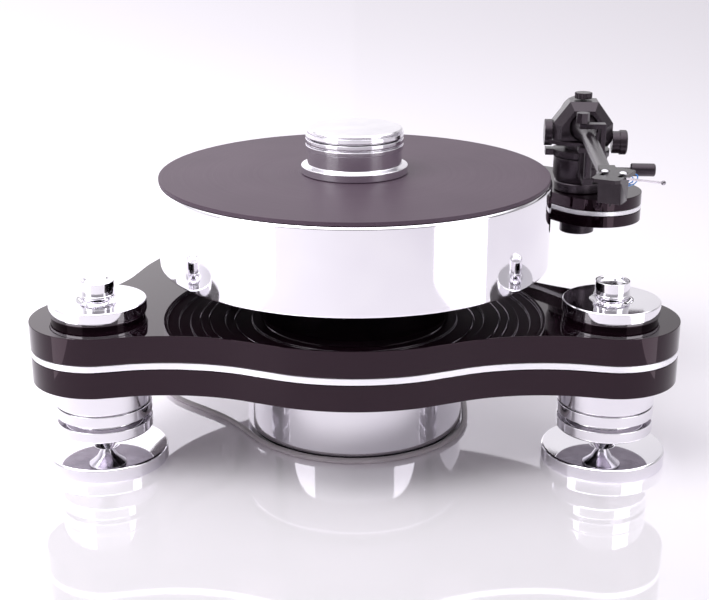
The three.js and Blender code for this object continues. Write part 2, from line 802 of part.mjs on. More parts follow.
/** The coil's middle line at t turns: two turns in, a climb in the half turn between, two out. */
function coilPoint(t) {
  const total = 2 * coilLayerTurns;
  const inward = coilLayerTurns - Math.abs(t - coilLayerTurns);
  const radius = coilOuterRadius - coilPitch * inward;
  const climb = Math.min(1, Math.max(0, 2 * (t - coilLayerTurns) + 0.5));
  const angle = Math.PI - 2 * Math.PI * Math.min(t, total);
  const height = leadLow + climb * (2 * leadRadius + 2 * seatGap);
  return new THREE.Vector3(coilX + radius * Math.cos(angle), coilY + radius * Math.sin(angle), height);
}

/** The coil's middle line, with a straight stretch of one cord diameter at each end. */
class CoilCurve extends THREE.Curve {
  getPoint(t, target = new THREE.Vector3()) {
    const straightTurns = leadRadius / (Math.PI * coilOuterRadius);
    const turns = t * (2 * coilLayerTurns + 2 * straightTurns) - straightTurns;
    const held = Math.min(2 * coilLayerTurns, Math.max(0, turns));
    const ahead = (turns - held) * 2 * Math.PI * coilOuterRadius;
    const p = coilPoint(held);
    return target.set(p.x, p.y + ahead, p.z);
  }
}

/** A tube whose rings stand square to a curve, without twist, as one closed solid. */
function woundTube(curve, radius, sides, steps) {
  const positions = [];
  const up = new THREE.Vector3(0, 0, 1);
  for (let i = 0; i <= steps; i += 1) {
    const centre = curve.getPoint(i / steps);
    const tangent = curve.getTangent(i / steps);
    const across = new THREE.Vector3().crossVectors(up, tangent).normalize();
    const lift = new THREE.Vector3().crossVectors(tangent, across);
    for (let k = 0; k < sides; k += 1) {
      const a = (2 * Math.PI * (k + 1 / 2)) / sides;
      const p = centre.clone().addScaledVector(across, radius * Math.cos(a));
      p.addScaledVector(lift, radius * Math.sin(a));
      positions.push(p.x, p.y, p.z);
    }
  }
  const index = [];
  for (let i = 0; i < steps; i += 1) {
    for (let k = 0; k < sides; k += 1) {
      const [a, b] = [i * sides + k, i * sides + ((k + 1) % sides)];
      index.push(a, b, a + sides, b, b + sides, a + sides);
    }
  }
  for (let k = 1; k < sides - 1; k += 1) {
    const last = steps * sides;
    index.push(0, k + 1, k, last, last + k, last + k + 1);
  }
  const geometry = new THREE.BufferGeometry();
  geometry.setAttribute('position', new THREE.Float32BufferAttribute(positions, 3));
  geometry.setIndex(index);
  return geometry;
}

/** The coil that puts the rest of the lead away. */
function leadCoil() {
  const steps = 2 * coilLayerTurns * coilStepsPerTurn;
  return woundTube(new CoilCurve(), leadRadius, coilSides, steps);
}

/** The least distance from the coil's surface to itself, one turn or more apart. */
function coilGap() {
  const perTurn = 4 * coilStepsPerTurn;
  const count = 2 * coilLayerTurns * perTurn;
  const points = Array.from({ length: count + 1 }, (_, i) => coilPoint(i / perTurn));
  let least = Infinity;
  for (let i = 0; i <= count; i += 1) {
    for (let j = i + perTurn / 2; j <= count; j += 1) {
      least = Math.min(least, points[i].distanceTo(points[j]));
    }
  }
  return least - 2 * leadRadius;
}

const leadTailStart = coilY + 2 * leadRadius + seatGap;
const plugHeight = plugRadius;

/** The lead's last stretch, from the coil down to its connector on the table. */
const tailRoute = [
  [coilX - coilOuterRadius, leadTailStart, leadLow + 2 * leadRadius + 2 * seatGap],
  [coilX - coilOuterRadius, leadTailStart + 2 * leadRadius, leadLow + 2 * leadRadius + 2 * seatGap],
  [-115.5, 240, 6.9], [-113, 252, 6], [-106, 262, plugHeight], [-96, 268, plugHeight],
  [-90, 269.6, plugHeight], [-84, 270, plugHeight],
];

/** The connector on the end of the lead: a barrel with a strain relief behind and a nose in front. */
function leadPlug() {
  const [x, y] = tailRoute[tailRoute.length - 1];
  const nose = plugLength + plugNoseLength;
  return turned([[0, 0], [plugNoseRadius, 0], [plugRadius, plugNoseLength],
    [plugRadius, plugLength], [plugNoseRadius, plugLength], [plugNoseRadius, nose], [0, nose]],
  knobSteps).rotateY(Math.PI / 2).translate(x + seatGap, y, plugHeight);
}

/** The outline of the curved arm board: two round ends, a hollow inner side and a full outer one. */
function boardOutline() {
  const end = { x: boardEndX, y: boardEndY, radius: boardEndRadius };
  const rear = { x: 0, y: rearLobeY, radius: boardRearRadius };
  return tangentOutline([end, rear], [-boardOuterRadius, boardInnerRadius]);
}

/** One plate of the arm board, with the holes for the hinge journal and the arm's stem. */
function boardPlateBetween(bottom, top) {
  const holes = [circlePoints(0, rearLobeY, hingeRadius + seatGap, turnedSteps),
    circlePoints(pivotX, pivotY, stemRadius + seatGap, turnedSteps)];
  return plate(boardOutline(), holes, bottom, top - bottom);
}

/** The round nut under the arm board. */
function boardNut() {
  return plate(circlePoints(0, 0, boardNutRadius, turnedSteps),
    [circlePoints(0, 0, stemRadius + seatGap, turnedSteps)],
    boardBottom - seatGap - boardNutHeight, boardNutHeight);
}

/** The collar on the arm board that the pillar's stem slides in. */
function baseCollar() {
  const bore = stemRadius + seatGap;
  const bottom = boardTop + seatGap;
  const top = bottom + baseCollarHeight;
  return turned(closed([[bore, bottom], [baseCollarRadius, bottom],
    [baseCollarRadius, top - columnChamfer], [baseCollarRadius - columnChamfer, top], [bore, top]]),
  turnedSteps);
}

const pillarBottom = boardTop + baseCollarHeight + 2 * seatGap;
const pillarTop = pillarBottom + pillarHeight;
const platformBottom = pillarTop + seatGap;
const platformTop = platformBottom + platformThickness;
const housingBottom = platformTop + housingRise;
const wandBore = wandRootRadius + wandBoreClearance;
const tubeHeight = housingBottom + housingFloor + wandBore;
const housingShoulder = tubeHeight + shoulderRise;
const housingTop = tubeHeight + wandBore + housingCrown;
const pitchHeight = tubeHeight - pitchDrop;
const headshellTop = tubeHeight + headshellRise;
const screwReach = wandLength + (headshellLength + socketLength) / 2 - deckLap;

/** The pillar: a stem that slides in the collar for the arm's height, and a flared head. */
function armPillar() {
  const bottom = boardBottom - seatGap - boardNutHeight;
  const bore = yawSpigotRadius + seatGap;
  const boreBottom = pillarTop - yawSpigotDepth;
  const flare = pillarBottom + pillarHeight / 4;
  return turned([[0, bottom], [stemRadius, bottom], [stemRadius, pillarBottom],
    [pillarFootRadius, pillarBottom], [pillarRadius, flare],
    [pillarRadius, pillarTop - columnChamfer], [pillarRadius - columnChamfer, pillarTop],
    [bore, pillarTop], [bore, boreBottom], [0, boreBottom]], turnedSteps);
}

const restBarBottom = tubeHeight - wandTubeRadius - restGapBelow - restCradle;
const liftBlockBottom = platformTop + liftBlockHeight / 3 - liftBlockHeight;
const leverHeight = liftBlockBottom + leverRise;

/** The round platform plate on the pillar, with its left wing. */
function platformPlate() {
  const hole = circlePoints(0, 0, yawSpigotRadius + runGap, turnedSteps);
  const disc = plate(circlePoints(0, 0, platformRadius, turnedSteps), [hole], platformBottom,
    platformThickness);
  const length = wingReach - platformRadius / 2;
  const wing = new THREE.BoxGeometry(length, wingWidth, platformThickness)
    .translate(-wingReach + length / 2, 0, platformBottom + platformThickness / 2);
  return joined(disc, wing);
}

/** The bracket that steps down from the platform and runs forward under the arm to the rest post. */
function platformBracket() {
  const low = liftBlockBottom;
  const block = -liftBlockReach + liftBlockLength / 2;
  const end = -restReach - restArmWidth / 2;
  const heel = -platformRadius + restArmHeight;
  return sidePlate([[heel, platformBottom], [heel, platformTop], [-platformRadius, platformTop],
    [block, low + restArmHeight], [end, low + restArmHeight], [end, low],
    [block + restArmHeight / 2, low], [-platformRadius, platformBottom]],
  restArmWidth);
}

/** The lift block on the bracket, bored for the lift pin and for the lift lever. */
function liftBlock() {
  const half = liftBlockWidth / 2;
  return plate([[-half, -liftBlockLength / 2], [half, -liftBlockLength / 2],
    [half, liftBlockLength / 2], [-half, liftBlockLength / 2]].map(([x, y]) => new THREE.Vector2(x, y)),
  [], liftBlockBottom, liftBlockHeight).translate(0, -liftBlockReach, 0);
}

/** A pin or bore along x, centred on a height, from one x to another. */
function crossPin(radius, from, to, y, z, steps) {
  return turned([[0, 0], [radius, 0], [radius, to - from], [0, to - from]], steps)
    .rotateY(Math.PI / 2).translate(from, y, z);
}

/** An upright pin or bore at x, y between two heights. */
function uprightPin(radius, x, y, bottom, top, steps) {
  return turned([[0, bottom], [radius, bottom], [radius, top], [0, top]], steps).translate(x, y, 0);
}

/** The platform with its bracket, lift block and rest post as one piece. */
function armPlatform() {
  const post = uprightPin(restPostRadius, 0, -restReach, liftBlockBottom + restArmHeight / 2,
    restBarBottom - seatGap, turnedSteps);
  const body = joined(platformPlate(), platformBracket(), liftBlock(), post);
  const liftBore = uprightPin(liftPinRadius + seatGap, 0, -liftBlockReach,
    liftBlockBottom + liftBlockHeight / 2, liftBlockBottom + liftBlockHeight + cutOverrun, pinSteps);
  const leverBore = crossPin(leverRadius + seatGap, 0, liftBlockWidth / 2 + cutOverrun,
    -liftBlockReach, leverHeight, pinSteps);
  return cut(body, liftBore, leverBore);
}

/** The rest that the arm is parked in: a hook on the post, open on the platter's side. */
function armRest() {
  const inner = wandTubeRadius + restGapSide;
  const bottom = restBarBottom;
  const bar = bottom + restCradle;
  const roof = tubeHeight + wandTubeRadius + restGapAbove;
  const top = roof + restCradle;
  const outer = inner + restSpine;
  return frontPlate([[-inner, bottom], [outer, bottom], [outer, top], [-inner, top], [-inner, roof],
    [inner, roof], [inner, bar], [-inner, bar]], [], -restReach - restLength / 2, restLength);
}

/** The knurled knob that locks the arm rest. */
function restLockKnob() {
  const x = -wandTubeRadius;
  const bottom = tubeHeight + wandTubeRadius + restGapAbove + restCradle + seatGap;
  return plate(knurlPoints(wandTubeRadius - gripDepth, gripDepth, knobSteps / 2), [], bottom,
    2 * restCradle).translate(x, -restReach, 0);
}

/** The curved bar that lifts the arm, on its pin. */
function liftBar() {
  const top = tubeHeight - wandRadiusAt(liftBarRadius) - seatGap - liftTravel / 4;
  const bottom = top - liftBarHeight;
  const [from, to] = [liftArcStartDegrees, liftArcEndDegrees].map(
    (degrees) => -Math.PI / 2 - THREE.MathUtils.degToRad(degrees));
  const [outer, inner] = [liftBarRadius + liftBarWidth / 2, liftBarRadius - liftBarWidth / 2];
  const steps = knobSteps / 2;
  const side = (radius) => Array.from({ length: steps + 1 }, (_, i) => {
    const a = from + ((to - from) * i) / steps;
    return new THREE.Vector2(radius * Math.cos(a), radius * Math.sin(a));
  });
  const bar = plate([...side(outer), ...side(inner).reverse()], [], bottom, liftBarHeight);
  const pinBottom = liftBlockBottom + liftBlockHeight / 2 + liftTravel;
  const pin = uprightPin(liftPinRadius, 0, -liftBlockReach, pinBottom, bottom + liftBarHeight / 2,
    pinSteps);
  return joined(bar, pin);
}

/** The lever that works the lift, with its round handle. */
function liftLever() {
  const start = seatGap;
  return turned([[0, start], [leverRadius, start], [leverRadius, leverReach],
    [leverHandleRadius - columnChamfer, leverReach], [leverHandleRadius, leverReach + columnChamfer],
    [leverHandleRadius, leverReach + leverHandleLength - columnChamfer],
    [leverHandleRadius - columnChamfer, leverReach + leverHandleLength],
    [0, leverReach + leverHandleLength]], knobSteps)
    .rotateY(Math.PI / 2).translate(0, -liftBlockReach, leverHeight);
}

/** The radius of the arm wand at a distance in front of the pivot. */
function wandRadiusAt(distance) {
  const taper = (distance - housingHalfDepth) / (wandTaperEnd - housingHalfDepth);
  const share = Math.min(1, Math.max(0, taper));
  return wandRootRadius + (wandTubeRadius - wandRootRadius) * share;
}

/** The front outline of the faceted bearing housing. */
function housingProfile() {
  return [[-housingFootHalfWidth, housingBottom], [housingFootHalfWidth, housingBottom],
    [housingHalfWidth, housingBottom + housingFootHeight], [housingHalfWidth, housingShoulder],
    [housingTopHalfWidth, housingTop], [-housingTopHalfWidth, housingTop],
    [-housingHalfWidth, housingShoulder], [-housingHalfWidth, housingBottom + housingFootHeight]];
}

/** The housing that swings the arm, bevelled in facets, with its spigot and its bearing holes. */
function yawHousing() {
  const shape = new THREE.Shape(housingProfile().map(([x, z]) => new THREE.Vector2(x, z)));
  const block = new THREE.ExtrudeGeometry(shape, { depth: 2 * (housingHalfDepth - housingBevelDepth),
    bevelEnabled: true, bevelThickness: housingBevelDepth, bevelSize: housingBevel,
    bevelOffset: -housingBevel, bevelSegments: 1 })
    .rotateX(Math.PI / 2).translate(0, housingHalfDepth - housingBevelDepth, 0);
  const end = housingHalfDepth + cutOverrun;
  const bore = turned([[0, -end], [wandBore, -end], [wandBore, end], [0, end]], turnedSteps)
    .rotateX(Math.PI / 2).translate(0, 0, tubeHeight);
  const collarBottom = platformTop + seatGap;
  const spigot = turned([[0, pillarTop - yawSpigotDepth + seatGap],
    [yawSpigotRadius, pillarTop - yawSpigotDepth + seatGap], [yawSpigotRadius, collarBottom],
    [yawCollarRadius, collarBottom], [yawCollarRadius, housingBottom + seatGap],
    [0, housingBottom + seatGap]], turnedSteps);
  const holes = crossPin(pitchAxleRadius + seatGap, -housingHalfWidth - cutOverrun,
    housingHalfWidth + cutOverrun, 0, pitchHeight, pinSteps);
  return cut(joined(block, spigot), bore, holes);
}

/** The round cap over the left end of the axle that the arm pitches on. */
function bearingCap() {
  const face = housingHalfWidth + seatGap;
  return crossPin(bearingCapRadius, -face - bearingCapThickness, -face, 0, pitchHeight, turnedSteps);
}

/** The wheel on the right side of the housing, over the other end of the axle. */
function sideWheel() {
  const x = housingHalfWidth + seatGap;
  const rim = sideWheelThickness / 2;
  return turned([[0, 0], [sideWheelRadius - columnChamfer, 0], [sideWheelRadius - columnChamfer, rim],
    [sideWheelRadius, rim], [sideWheelRadius, sideWheelThickness - columnChamfer],
    [sideWheelRadius - columnChamfer, sideWheelThickness], [0, sideWheelThickness]], knobSteps)
    .rotateY(Math.PI / 2).translate(x, -sideWheelForward, tubeHeight - sideWheelDrop);
}

/** The knurled knob on top of the housing. */
function topKnob() {
  const bottom = housingTop + seatGap;
  const head = bottom + topKnobStemHeight;
  const stem = uprightPin(topKnobStemRadius, 0, 0, bottom, head + topKnobHeight / 2, pinSteps);
  const grip = plate(knurlPoints(topKnobRadius, gripDepth, turnedSteps), [], head, topKnobHeight);
  return joined(stem, grip).translate(0, topKnobBack, 0);
}

/** The tapered arm wand on its cross axle, with the counterweight's stub behind it. */
function armWand() {
  const stubStart = housingHalfDepth + seatGap;
  const wand = turned([[0, -stubLength], [stubRadius, -stubLength], [stubRadius, -stubStart],
    [wandRootRadius, -stubStart], [wandRootRadius, housingHalfDepth],
    [wandTubeRadius, wandTaperEnd], [wandFrontRadius, wandLength], [0, wandLength]], knobSteps)
    .rotateX(Math.PI / 2).translate(0, 0, tubeHeight);
  const reach = housingHalfWidth - seatGap;
  return joined(wand, crossPin(pitchAxleRadius, -reach, reach, 0, pitchHeight, pinSteps));
}

/** The counterweight on the stub behind the housing. */
function counterweight() {
  const bore = stubRadius + seatGap;
  const end = counterweightStart + counterweightLength;
  const face = counterweightRadius - columnChamfer;
  return turned(closed([[bore, counterweightStart], [face, counterweightStart],
    [counterweightRadius, counterweightStart + columnChamfer], [counterweightRadius, end - columnChamfer],
    [face, end], [bore, end]]), turnedSteps)
    .rotateX(-Math.PI / 2).translate(0, 0, tubeHeight);
}

const headshellTurn = -THREE.MathUtils.degToRad(headshellOffsetDegrees);

/** A geometry made at the cartridge's screws with its front along -y, put in its place on the arm. */
function atHeadshell(geometry) {
  return geometry.rotateZ(headshellTurn).translate(headshellAside, -screwReach, 0);
}

/** The headshell: an offset slotted plate on a socket over the end of the wand. */
function headshell() {
  const half = headshellWidth / 2;
  const front = -headshellLength / 2;
  const back = headshellLength / 2;
  const outline = [[-half + headshellNose, front], [half - headshellNose, front],
    [half, front + headshellNose], [half, back - headshellNose], [half - 2 * headshellNose, back],
    [-half + 2 * headshellNose, back], [-half, back - headshellNose], [-half, front + headshellNose]];
  const deck = plate(outline.map(([u, v]) => new THREE.Vector2(u, v)), [],
    headshellTop - headshellThickness, headshellThickness);
  const slots = [-1, 1].map((side) => new THREE.BoxGeometry(slotWidth, slotLength, headshellThickness
    + cutOverrun).translate((side * screwSpacing) / 2, 0, headshellTop - headshellThickness / 2));
  const socketStart = wandLength - socketLength / 2;
  const socket = turned([[0, socketStart], [socketRadius, socketStart],
    [socketRadius, socketStart + socketLength], [0, socketStart + socketLength]], knobSteps)
    .rotateX(Math.PI / 2).translate(0, 0, tubeHeight);
  const neckTop = headshellTop - headshellThickness / 2;
  const neckLength = socketLength + neckReach;
  const neck = new THREE.BoxGeometry(2 * wandTubeRadius, neckLength, neckTop - tubeHeight)
    .translate(0, -socketStart - neckLength / 2, (neckTop + tubeHeight) / 2);
  const bore = turned([[0, 0], [wandFrontRadius + seatGap, 0],
    [wandFrontRadius + seatGap, wandLength + seatGap], [0, wandLength + seatGap]], knobSteps)
    .rotateX(Math.PI / 2).translate(0, 0, tubeHeight);
  return cut(joined(atHeadshell(cut(deck, ...slots)), socket, neck), bore);
}

/** The cartridge under the headshell, narrowing downwards, with its stylus. */
function cartridge() {
  const top = headshellTop - headshellThickness - seatGap;
  const bottom = top - cartridgeHeight;
  const half = cartridgeLength / 2;
  const body = sidePlate([[-half, top], [-half + cartridgeTaper, bottom], [half - cartridgeTaper, bottom],
    [half, top]], cartridgeWidth);
  const holes = [-1, 1].map((side) => uprightPin(screwShankRadius + seatGap, (side * screwSpacing) / 2,
    0, top - headScrewHeight - seatGap, top + cutOverrun, pinSteps));
  const stylus = uprightPin(stylusRadius, 0, -half + 2 * cartridgeTaper, bottom - stylusHeight,
    bottom + stylusRadius, pinSteps);
  return atHeadshell(cut(joined(body, stylus), ...holes));
}

/** One of the two screws that hold the cartridge, to the left or the right. */
function headshellScrew(side) {
  const seat = headshellTop + seatGap;
  const foot = headshellTop - headshellThickness - headScrewHeight;
  return atHeadshell(turned([[0, foot], [screwShankRadius, foot], [screwShankRadius, seat],
    [headScrewRadius, seat], [headScrewRadius, seat + headScrewHeight / 2],
    [headScrewRadius / 2, seat + headScrewHeight], [0, seat + headScrewHeight]], pinSteps)
    .translate((side * screwSpacing) / 2, 0, 0));
}

/** The finger lift on the right edge of the headshell, with its small ball. */
function fingerLift() {
  const height = headshellTop - headshellThickness / 2;
  const start = headshellWidth / 2 + seatGap;
  const rod = crossPin(fingerRadius, start, start + fingerLength, -fingerForward, height, pinSteps);
  const ball = new THREE.SphereGeometry(fingerBallRadius, pinSteps, pinSteps / 2)
    .rotateX(Math.PI / 2).translate(start + fingerLength, -fingerForward, height);
  return atHeadshell(joined(rod, ball));
}

/** The terminal block beside the wand's socket, with the four thin leads looping to the cartridge. */
function cartridgeLeads() {
  const left = socketRadius + seatGap;
  const back = -wandLength + socketLength / 4;
  const block = new THREE.BoxGeometry(blockWidth, blockLength, blockHeight)
    .translate(left + blockWidth / 2, back - blockLength / 2, tubeHeight);
  const around = new THREE.Vector3(0, 0, 1);
  const place = new THREE.Vector3(headshellAside, -screwReach, 0);
  const atBack = (x, y, z) => new THREE.Vector3(x, y, z).applyAxisAngle(around, headshellTurn).add(place);
  const start = cartridgeLength / 2 + seatGap;
  const leads = [0, 1, 2, 3].map((i) => {
    const spread = (i - 3 / 2) * wireSpacing;
    const height = tubeHeight + spread;
    const low = tubeHeight - wireDrop;
    const out = left + blockWidth + wireBulge + spread;
    return tube(new THREE.CatmullRomCurve3([
      atBack(spread, start, low), atBack(spread, start + wireSpacing, low),
      new THREE.Vector3(out, back - blockLength - spread, tubeHeight - wireDrop / 2),
      new THREE.Vector3(out, back - blockLength / 2, height),
      new THREE.Vector3(left + blockWidth / 2, back - blockLength / 2, height)]),
    wireRadius, wireSides, 2 * wireSides);
  });
  return joined(block, ...leads);
}

/** The whole turntable. */
function turntable() {
  const group = new THREE.Group();
  const add = (parent, name, geometry, material) => {
    const mesh = new THREE.Mesh(geometry, material);
    mesh.name = name;
    parent.add(mesh);
    return mesh;
  };
  add(group, 'chassis_lower_plate', chassisPlate(chassisBottom, coreBottom - seatGap), blackAcrylic);
  add(group, 'chassis_core_plate', chassisPlate(coreBottom, coreTop - seatGap), satinAluminium);
  add(group, 'chassis_upper_plate', upperPlate(), blackAcrylic);
  for (const lobe of lobes) {
    const foot = new THREE.Group();
    foot.position.set(lobe.x, lobe.y, 0);
    group.add(foot);
    add(foot, `foot_column_${lobe.name}`, footColumn(), polishedAluminium);
    add(foot, `foot_pad_${lobe.name}`, footPad(), polishedAluminium);
    add(foot, `level_spindle_${lobe.name}`, levelSpindle(lobe), steel);
    add(foot, `top_disc_${lobe.name}`, topDisc(lobe), polishedAluminium);
    add(foot, `level_knob_${lobe.name}`, levelKnob(lobe), polishedAluminium);
  }
  add(group, 'arm_post', armPost().translate(0, rearLobeY, 0), polishedAluminium);

  add(group, 'bearing_housing', bearingHousing(), brass);
  add(group, 'bearing_spindle', bearingSpindle(), steel);
  add(group, 'inner_platter', innerPlatter(), blackAnodised);
  add(group, 'platter', platter(), polishedAluminium);
  add(group, 'platter_mat', platterMat(), matCompound);
  add(group, 'record_weight_body', weightBody(), brushedGrey);
  add(group, 'record_weight_cap', weightCap(), polishedAluminium);

  add(group, 'motor_pad', motorPad(), blackRubber);
  add(group, 'motor_housing', glandedMotorHousing(), polishedAluminium);
  add(group, 'motor_lid', motorLid(), polishedAluminium);
  add(group, 'motor_body', motorBody(), blackAnodised);
  add(group, 'motor_pulley', motorPulley(), steel);
  add(group, 'drive_belt', driveBelt(), blackRubber);
  add(group, 'lead_gland', leadGland(), blackRubber);
  add(group, 'lead_run', tube(smooth(leadRoute), leadRadius, leadSides, leadSteps), blackRubber);
  add(group, 'lead_coil', leadCoil(), blackRubber);
  add(group, 'lead_tail', tube(smooth(tailRoute), leadRadius, leadSides, tailSteps), blackRubber);
  add(group, 'lead_plug', leadPlug(), blackRubber);

  const middle = boardBottom + boardPlate;
  const upper = middle + boardCore;
  add(group, 'arm_board_lower', boardPlateBetween(boardBottom, middle - seatGap), blackAcrylic);
  add(group, 'arm_board_core', boardPlateBetween(middle, upper - seatGap), satinAluminium);
  add(group, 'arm_board_upper', boardPlateBetween(upper, boardTop), blackAcrylic);

  const arm = new THREE.Group();
  arm.position.set(pivotX, pivotY, 0);
  arm.rotation.z = -THREE.MathUtils.degToRad(parkAngleDegrees);
  group.add(arm);
  add(arm, 'arm_board_nut', boardNut(), blackAnodised);
  add(arm, 'arm_base_collar', baseCollar(), blackAnodised);
  add(arm, 'arm_pillar', armPillar(), blackAnodised);
  add(arm, 'arm_platform', armPlatform(), blackAnodised);
  add(arm, 'arm_rest', armRest(), blackAnodised);
  add(arm, 'rest_lock_knob', restLockKnob(), blackAnodised);
  add(arm, 'lift_bar', liftBar(), steel);
  add(arm, 'lift_lever', liftLever(), blackAnodised);
  add(arm, 'yaw_housing', yawHousing(), blackAnodised);
  add(arm, 'bearing_cap', bearingCap(), blackAnodised);
  add(arm, 'side_wheel', sideWheel(), blackAnodised);
  add(arm, 'top_knob', topKnob(), blackAnodised);
  add(arm, 'arm_wand', armWand(), blackAnodised);
  add(arm, 'counterweight', counterweight(), blackAnodised);
  add(arm, 'headshell', headshell(), blackAnodised);
  add(arm, 'headshell_screw_left', headshellScrew(-1), steel);
  add(arm, 'headshell_screw_right', headshellScrew(1), steel);
  add(arm, 'cartridge', cartridge(), blackAnodised);
  add(arm, 'finger_lift', fingerLift(), steel);
  add(arm, 'cartridge_leads', cartridgeLeads(), wireBlue);
  return group;
}

console.log('least gap between the coil and itself, mm:', coilGap().toFixed(2));

export default turntable();
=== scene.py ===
"""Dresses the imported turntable: smooth turned metal, polished acrylic, its lead and the studio round it.

Every length is in metres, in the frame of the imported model: +Z up, the platter's axis at x = y = 0,
the table at z = 0 and the camera's side at -Y.
"""

import json
import logging
import math
from collections import Counter, defaultdict
from dataclasses import dataclass
from enum import Enum

import bmesh
import bpy
from mathutils import Matrix, Vector

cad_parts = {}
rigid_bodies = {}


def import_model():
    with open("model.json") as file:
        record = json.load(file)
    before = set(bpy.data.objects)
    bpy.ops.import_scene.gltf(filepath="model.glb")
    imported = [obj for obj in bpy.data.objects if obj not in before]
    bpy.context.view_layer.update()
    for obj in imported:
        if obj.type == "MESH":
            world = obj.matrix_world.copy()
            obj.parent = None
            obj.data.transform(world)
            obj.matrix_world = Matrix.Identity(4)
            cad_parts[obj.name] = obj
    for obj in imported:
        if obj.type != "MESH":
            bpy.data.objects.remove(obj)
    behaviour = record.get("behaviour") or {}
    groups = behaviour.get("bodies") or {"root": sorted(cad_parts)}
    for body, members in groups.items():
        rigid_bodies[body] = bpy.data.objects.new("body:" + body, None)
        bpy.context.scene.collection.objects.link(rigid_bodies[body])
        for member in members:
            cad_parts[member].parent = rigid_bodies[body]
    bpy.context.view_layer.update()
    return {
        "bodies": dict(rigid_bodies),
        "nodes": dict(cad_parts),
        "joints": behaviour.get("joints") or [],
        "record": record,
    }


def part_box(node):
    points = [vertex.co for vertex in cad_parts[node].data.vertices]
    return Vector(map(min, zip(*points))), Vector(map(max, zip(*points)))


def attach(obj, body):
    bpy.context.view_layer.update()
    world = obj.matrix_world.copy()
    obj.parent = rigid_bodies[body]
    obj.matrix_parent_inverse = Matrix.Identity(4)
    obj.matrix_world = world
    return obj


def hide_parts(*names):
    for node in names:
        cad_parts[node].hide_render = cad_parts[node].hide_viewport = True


MM = 0.001
UP = Vector((0, 0, 1))

# Points of the CAD mesh closer than this count as one, and as lying on an axis.
ON_AXIS = 0.02 * MM
# A profile's point closer to the axis than this is made as one vertex.
AT_CENTRE = 0.001 * MM
# Points whose turns about the axis, in radians, are closer than this lie on one meridian.
SAME_TURN = 0.004
TURN_DIGITS = 3
# Coordinates in metres are compared when rounded to this many digits.
DIGITS = 6
# Corners of turned pieces, of plates, of rounded profiles and of bevelled nodes start at these angles.
SHARP_DEGREES = 30.0
PLATE_SHARP_DEGREES = 20.0
ROUNDED_DEGREES = 32.0
BEVELLED_DEGREES = 35.0
# A rounding has this many sides, takes at most this share of each side that it joins, and gets a point
# at this many times its size, which keeps the shading of the flat side flat.
ROUNDING_STEPS = 4
ROUNDING_SHARE = 0.3
ROUNDING_LEAD = 1.4
# Faces whose normal points down by at least this much belong to an underside.
DOWNWARD = -0.95
WELD_REACH = 0.002 * MM
BEVEL_SEGMENTS = 2
# Most of a noise texture's values lie in this range.
NOISE_LOW = 0.3
NOISE_HIGH = 0.7
MARK_OCTAVES = 3
DRIFT_OCTAVES = 2
PIN_STEPS = 12

log = logging.getLogger("turntable")

Colour = tuple[float, float, float]
Place = tuple[float, float, float]
Flat = tuple[float, float]
Socket = bpy.types.NodeSocket
Tree = bpy.types.NodeTree


class Grain(Enum):
    """How the fine marks of a finish run."""

    ROUND = "rings about the piece's own axis"
    SPECKLE = "even in all directions"


@dataclass(frozen=True)
class Finish:
    """A surface finish: its colours, gloss and fine marks.

    Attributes:
        name: the material's name.
        colour: linear base colour.
        shade: linear colour that drifts over the base colour.
        metallic: 0 for plastic and rubber, 1 for bare metal.
        gloss: the least and the greatest roughness.
        grain: how the marks run.
        mark: size of the fine marks.
        drift: size of the slow changes of colour.
        depth: height of the marks.
        specular: strength of the head-on reflection, 0.5 for a refractive index of 1.5.
        tint: colour of the head-on reflection.
    """

    name: str
    colour: Colour
    shade: Colour
    metallic: float
    gloss: tuple[float, float]
    grain: Grain
    mark: float
    drift: float
    depth: float
    specular: float = 0.5
    tint: Colour = (1.0, 1.0, 1.0)


POLISHED = Finish("mirror_metal", (0.9, 0.885, 0.92), (0.84, 0.82, 0.87), 1.0, (0.035, 0.075),
                  Grain.ROUND, 0.35 * MM, 60 * MM, 0.004 * MM)
TURNED = Finish("turned_metal", (0.85, 0.83, 0.87), (0.76, 0.74, 0.79), 1.0, (0.07, 0.15),
                Grain.ROUND, 0.25 * MM, 20 * MM, 0.008 * MM)
STRIPE = Finish("core_metal", (0.93, 0.92, 0.95), (0.87, 0.86, 0.9), 0.75, (0.3, 0.4),
                Grain.SPECKLE, 0.2 * MM, 30 * MM, 0.01 * MM)
BRUSHED = Finish("brushed_metal", (0.36, 0.335, 0.37), (0.26, 0.24, 0.27), 1.0, (0.1, 0.2),
                 Grain.ROUND, 0.2 * MM, 12 * MM, 0.02 * MM)
ACRYLIC = Finish("gloss_black", (0.004, 0.0012, 0.0028), (0.006, 0.002, 0.004), 0.0, (0.015, 0.03),
                 Grain.SPECKLE, 0.6 * MM, 90 * MM, 0.001 * MM, 0.42, (1.0, 0.72, 0.88))
ANODISED = Finish("satin_black", (0.009, 0.006, 0.0085), (0.014, 0.01, 0.0135), 0.0, (0.2, 0.3),
                  Grain.SPECKLE, 0.25 * MM, 9 * MM, 0.02 * MM, 0.52, (1.0, 0.84, 0.98))
SHELL = Finish("satin_grey", (0.014, 0.01, 0.013), (0.022, 0.017, 0.021), 0.0, (0.16, 0.26),
               Grain.SPECKLE, 0.25 * MM, 9 * MM, 0.02 * MM, 0.28, (1.0, 0.88, 0.98))
MAT = Finish("mat_surface", (0.062, 0.036, 0.058), (0.076, 0.046, 0.071), 0.0, (0.42, 0.54),
             Grain.ROUND, 0.5 * MM, 70 * MM, 0.02 * MM, 0.3)
RUBBER = Finish("dark_rubber", (0.028, 0.024, 0.028), (0.042, 0.036, 0.042), 0.0, (0.5, 0.7),
                Grain.SPECKLE, 0.4 * MM, 14 * MM, 0.03 * MM)
